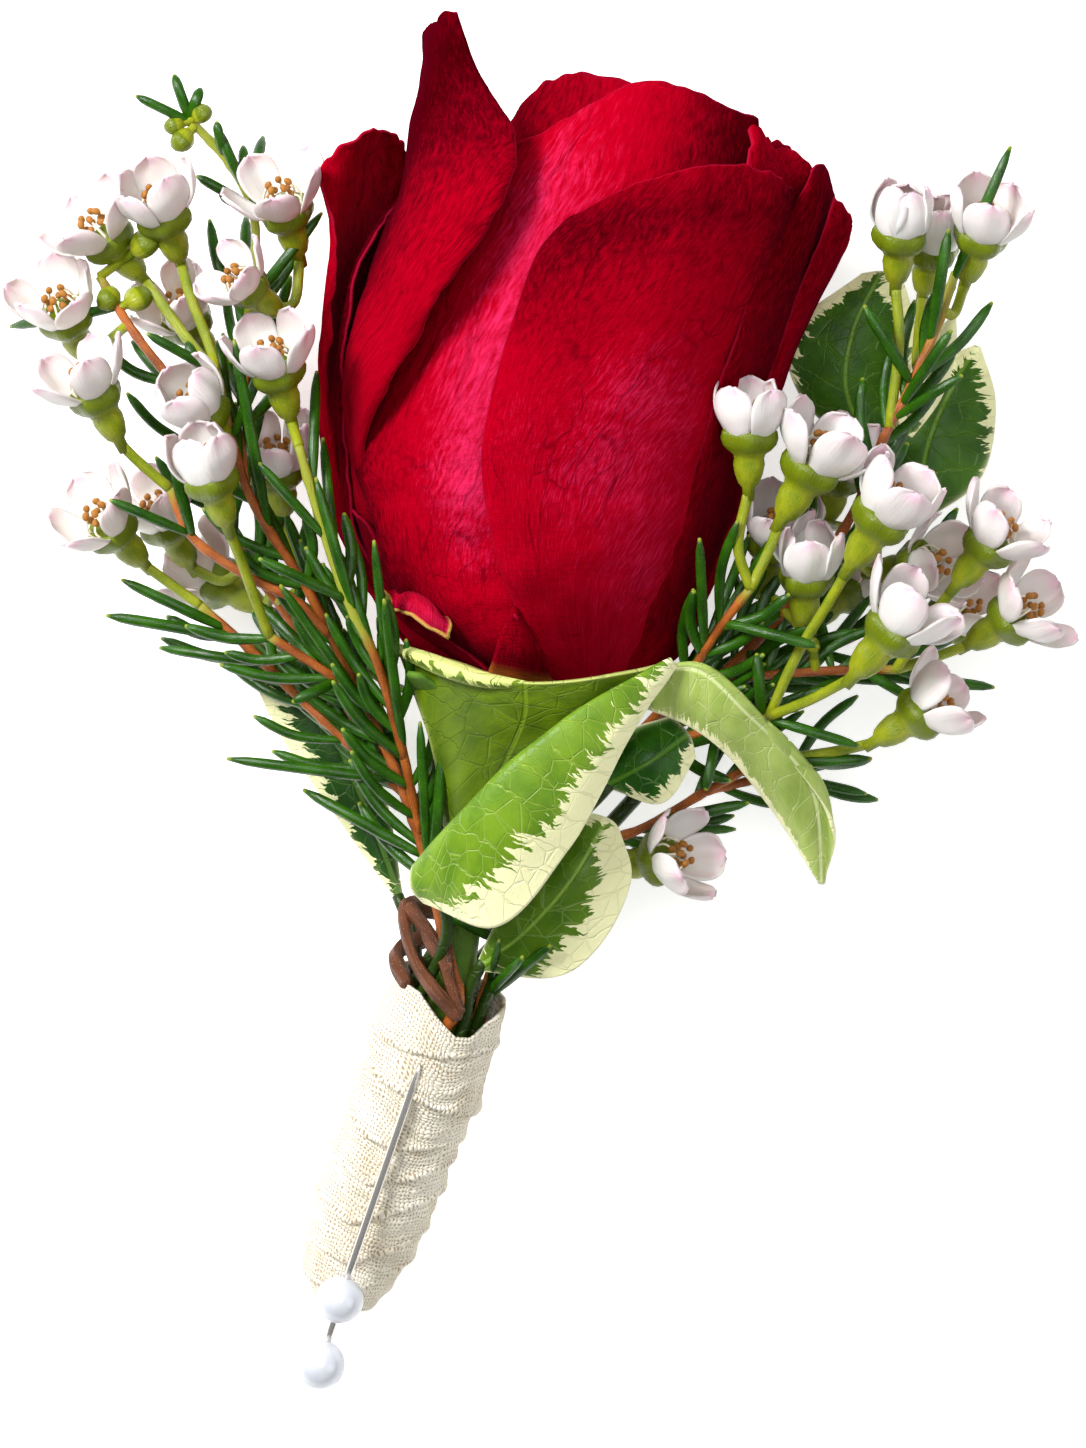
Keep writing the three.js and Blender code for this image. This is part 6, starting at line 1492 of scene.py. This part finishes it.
tape_grid = np.zeros((TAPE_ROWS + 1, TAPE_COLUMNS + 1, 3))
for i in range(TAPE_COLUMNS + 1):
    angle = i / TAPE_COLUMNS * 2 * math.pi - math.pi / 2
    across = TAPE_HALF * math.cos(angle)
    top = np.interp(across, top_marks[:, 0], top_marks[:, 1]) if math.sin(angle) > 0 else -0.02
    for j in range(TAPE_ROWS + 1):
        share = top + (1.0 - top) * j / TAPE_ROWS
        radius = np.interp(np.clip(share, 0, 1) * 10, range(11), WRAP_RADII)
        build = 0.0
        for marks, stand in edge_marks:
            edge = np.interp(across, marks[:, 0], marks[:, 1])
            if math.sin(angle) < 0:
                edge += 0.04 * math.sin(angle)
            past = (share - edge) * WRAP_LENGTH
            if past < 0:
                build += stand * math.exp(past / TURN_SWELL)
            else:
                build += stand * max(0.0, 1 - past / TURN_STEP)
            build += HEM_HEIGHT * math.exp(-((past + 0.15) / HEM_WIDTH) ** 2)
        if share > TAPE_CLOSES:
            radius *= math.sqrt(max(0.0, 1 - ((share - TAPE_CLOSES) / 0.03) ** 2)) * 0.9 + 0.1
        radius += (build - 0.25) * min(1.0, (1.02 - share) * 12)
        tape_grid[j, i] = in_wrap(share, radius * math.cos(angle), radius * math.sin(angle))
turned = np.linspace(0, 2 * math.pi, TAPE_COLUMNS + 1)[None, :] + np.zeros((TAPE_ROWS + 1, 1))
down = np.linspace(0, WRAP_LENGTH, TAPE_ROWS + 1)[:, None] + 0 * turned + 0.6 * np.cos(turned)
creased = np.stack([1.4 * np.cos(turned), down, 1.4 * np.sin(turned)], axis=2)
creases = noise_grid(creased, 1.2, 3.0) * 0.26 + noise_grid(creased, 0.5, 5.0) * 0.06
tape_grid += normals_of(tape_grid) * creases[..., None]
tape_points, tape_faces, tape_uvs, _ = sheet_arrays(
    tape_grid, TAPE_THICKNESS, TAPE_GIRTH, WRAP_LENGTH)

# Gauze weave: thin threads both ways with small holes between, drawn tight in some places
tree, given, result = new_group("gauze_weave", {"Pitch": 0.38}, ["Hole", "Thread", "Cloud"])
pull = node(tree, "ShaderNodeTexNoise", {"Vector": given["Place"], "Scale": 0.5, "Detail": 3.0})
wavy = vector_sum(tree, given["Place"], stretched(tree, pull.outputs[1], 1.3))
split = node(tree, "ShaderNodeSeparateXYZ", {0: wavy})
rows = []
for k in (0, 1):
    phase = times(tree, split.outputs[k], calc(tree, "DIVIDE", 2 * math.pi, given["Pitch"]))
    rows.append(plus(tree, 0.5, times(tree, calc(tree, "SINE", phase), 0.5)))
tight = steps_of(tree, noise_of(tree, given["Place"], 0.45, 3.0), 0.35, 0.65, 0.3, 0.62)
wire(tree, result, {
    "Hole": steps_of(tree, times(tree, rows[0], rows[1]), tight, plus(tree, tight, 0.25)),
    "Thread": calc(tree, "SUBTRACT", 1.0, calc(tree, "MAXIMUM", rows[0], rows[1])),
    "Cloud": steps_of(tree, noise_of(tree, given["Place"], 0.2, 3.0), 0.3, 0.7),
})
weave_group = tree

gauze, tree, shader = new_material(
    "gauze_cotton", Roughness=0.85, Specular_IOR_Level=0.2, Sheen_Weight=0.15)
place = uv_place(tree)
weave = placed(tree, weave_group, {"Place": place})
cotton = blend(tree, weave["Cloud"], colour(246, 240, 224), colour(233, 223, 200))
# The weave's holes are painted dark tan: a painted shade in place of the shaded depth seen through
# real holes
cotton = blend(tree, times(tree, weave["Hole"], 0.85), cotton, colour(166, 140, 100))
speck = steps_of(tree, noise_of(tree, place, 1.4, 1.0), 0.74, 0.8)
cotton = blend(tree, times(tree, speck, 0.6), cotton, colour(150, 108, 66))
wire(tree, shader, {"Base Color": cotton})
raised = calc(tree, "SUBTRACT", times(tree, weave["Thread"], 0.6), weave["Hole"])
bumped(tree, shader, raised, 0.7, 0.00025)
tape = new_piece("gauze_tape", gauze, tape_points, tape_faces, tape_uvs)
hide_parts("stem_wrap")

# Two pins: polished steel shafts pushed up into the tape, each glued into a pearl-white head.
# One head lies over the handle's end and one beyond it.
PINS = {
    "upper": ((-18.4, -53.6, 10.9), (-11.0, -32, 16.3), 2.17),
    "lower": ((-20.26, -59.7, 7.1), (-15.6, -44.9, 9.7), 2.32),
}
SHAFT_RADIUS = 0.37
pearl, tree, shader = new_material(
    "pearl_lacquer", Roughness=0.16, Specular_IOR_Level=0.55, Coat_Weight=0.6, Coat_Roughness=0.05,
)
place = uv_place(tree)
swirl = steps_of(tree, noise_of(tree, place, 0.5, 3.0), 0.3, 0.7)
lustre = blend(tree, swirl, colour(218, 221, 228), colour(204, 208, 217))
wire(tree, shader, {"Base Color": lustre})
bumped(tree, shader, noise_of(tree, place, 1.6, 2.0), 0.08, 0.0002)
steel, tree, shader = new_material("polished_steel", Metallic=0.8, Roughness=0.2)
drawn = noise_of(tree, scaled(tree, uv_place(tree), (14.0, 0.6, 1.0)), 1.0, 3.0)
wire(tree, shader, {
    "Base Color": blend(tree, drawn, colour(232, 229, 224), colour(198, 193, 186)),
    "Roughness": plus(tree, 0.14, times(tree, drawn, 0.16)),
})
for name, (head, point, radius) in PINS.items():
    head, point = np.array(head), np.array(point)
    way = (point - head) / np.linalg.norm(point - head)
    turns = np.linspace(0.05, math.pi - 0.12, 25)
    centres = [head - way * radius * math.cos(turn) for turn in turns]
    shell = tube_arrays(centres, [radius * math.sin(turn) for turn in turns], 40)
    nub = tube_arrays([head - way * (radius - 0.25), head - way * (radius + 0.02)], [0.42, 0.2], 14)
    points, faces, uvs, _ = merged([shell, nub])
    ball = new_piece(f"pearl_{name}", pearl, points, faces, uvs)
    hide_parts(f"pin_{name}_head")
    line = [head + way * (radius - 0.9), head + way * (radius + 2), point - way * 2.5,
            point - way * 0.9, point]
    points, faces, uvs, _ = tube_arrays(line, [SHAFT_RADIUS] * 3 + [0.24, 0.05], 20)
    shaft = new_piece(f"pin_shaft_{name}", steel, points, faces, uvs)
    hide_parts(f"pin_{name}_shaft")

# Table, light and camera: a white table top under soft boxes, and a long lens straight above.
# The table glows a little, as a light table does, so that the leaves' rims stay clear.
PIXEL = 0.09
PHOTO_HIGH = 1448
VIEW_CENTRE = (0.446, -1.444)
VIEW_HEIGHT = 16.0
LENS = 250.0
SENSOR = 36.0
CLIP = (0.05, 10.0)
# Half a side of the table top in metres
FLOOR = 1.6
WHITE = (1, 1, 1, 1)


def soft_box(name, place, aim, size, power):
    data = bpy.data.lights.new(name, "AREA")
    data.shape = "RECTANGLE"
    data.size, data.size_y = size[0] * MM, size[1] * MM
    data.energy = power
    lamp = bpy.data.objects.new(name, data)
    lamp.location = Vector(place) * MM
    lamp.rotation_euler = (Vector(aim) - Vector(place)).to_track_quat("-Z", "Y").to_euler()
    bpy.context.scene.collection.objects.link(lamp)


floor_mesh = bpy.data.meshes.new("table_top")
floor_corners = [(x * FLOOR, y * FLOOR, 0) for x, y in ((-1, -1), (1, -1), (1, 1), (-1, 1))]
floor_mesh.from_pydata(floor_corners, [], [(0, 1, 2, 3)])
floor = bpy.data.objects.new("table_top", floor_mesh)
bpy.context.scene.collection.objects.link(floor)
table_finish, *_ = new_material(
    "table_white", Base_Color=(0.92, 0.92, 0.92, 1), Roughness=0.9, Specular_IOR_Level=0.1,
    Emission_Color=WHITE, Emission_Strength=0.62,
)
floor_mesh.materials.append(table_finish)

soft_box("key_box", (-400, 310, 520), (0, 10, 15), (240, 240), 7.2)
soft_box("top_box", (40, 80, 800), (0, 0, 15), (420, 420), 2.4)
soft_box("fill_box", (520, -200, 420), (0, 0, 15), (400, 400), 0.8)
world = bpy.data.worlds.new("studio")
world.use_nodes = True
wire(world.node_tree, world.node_tree.nodes["Background"], {"Color": WHITE, "Strength": 0.12})
bpy.context.scene.world = world
bpy.context.scene.view_settings.view_transform = "Standard"

camera_data = bpy.data.cameras.new("camera")
camera_data.sensor_fit = "AUTO"
camera_data.sensor_width = SENSOR
camera_data.lens = LENS
camera = bpy.data.objects.new("camera", camera_data)
distance = PHOTO_HIGH * PIXEL * LENS / SENSOR
camera.location = Vector((VIEW_CENTRE[0], VIEW_CENTRE[1], VIEW_HEIGHT + distance)) * MM
camera_data.clip_start, camera_data.clip_end = CLIP
bpy.context.scene.collection.objects.link(camera)
bpy.context.scene.camera = camera
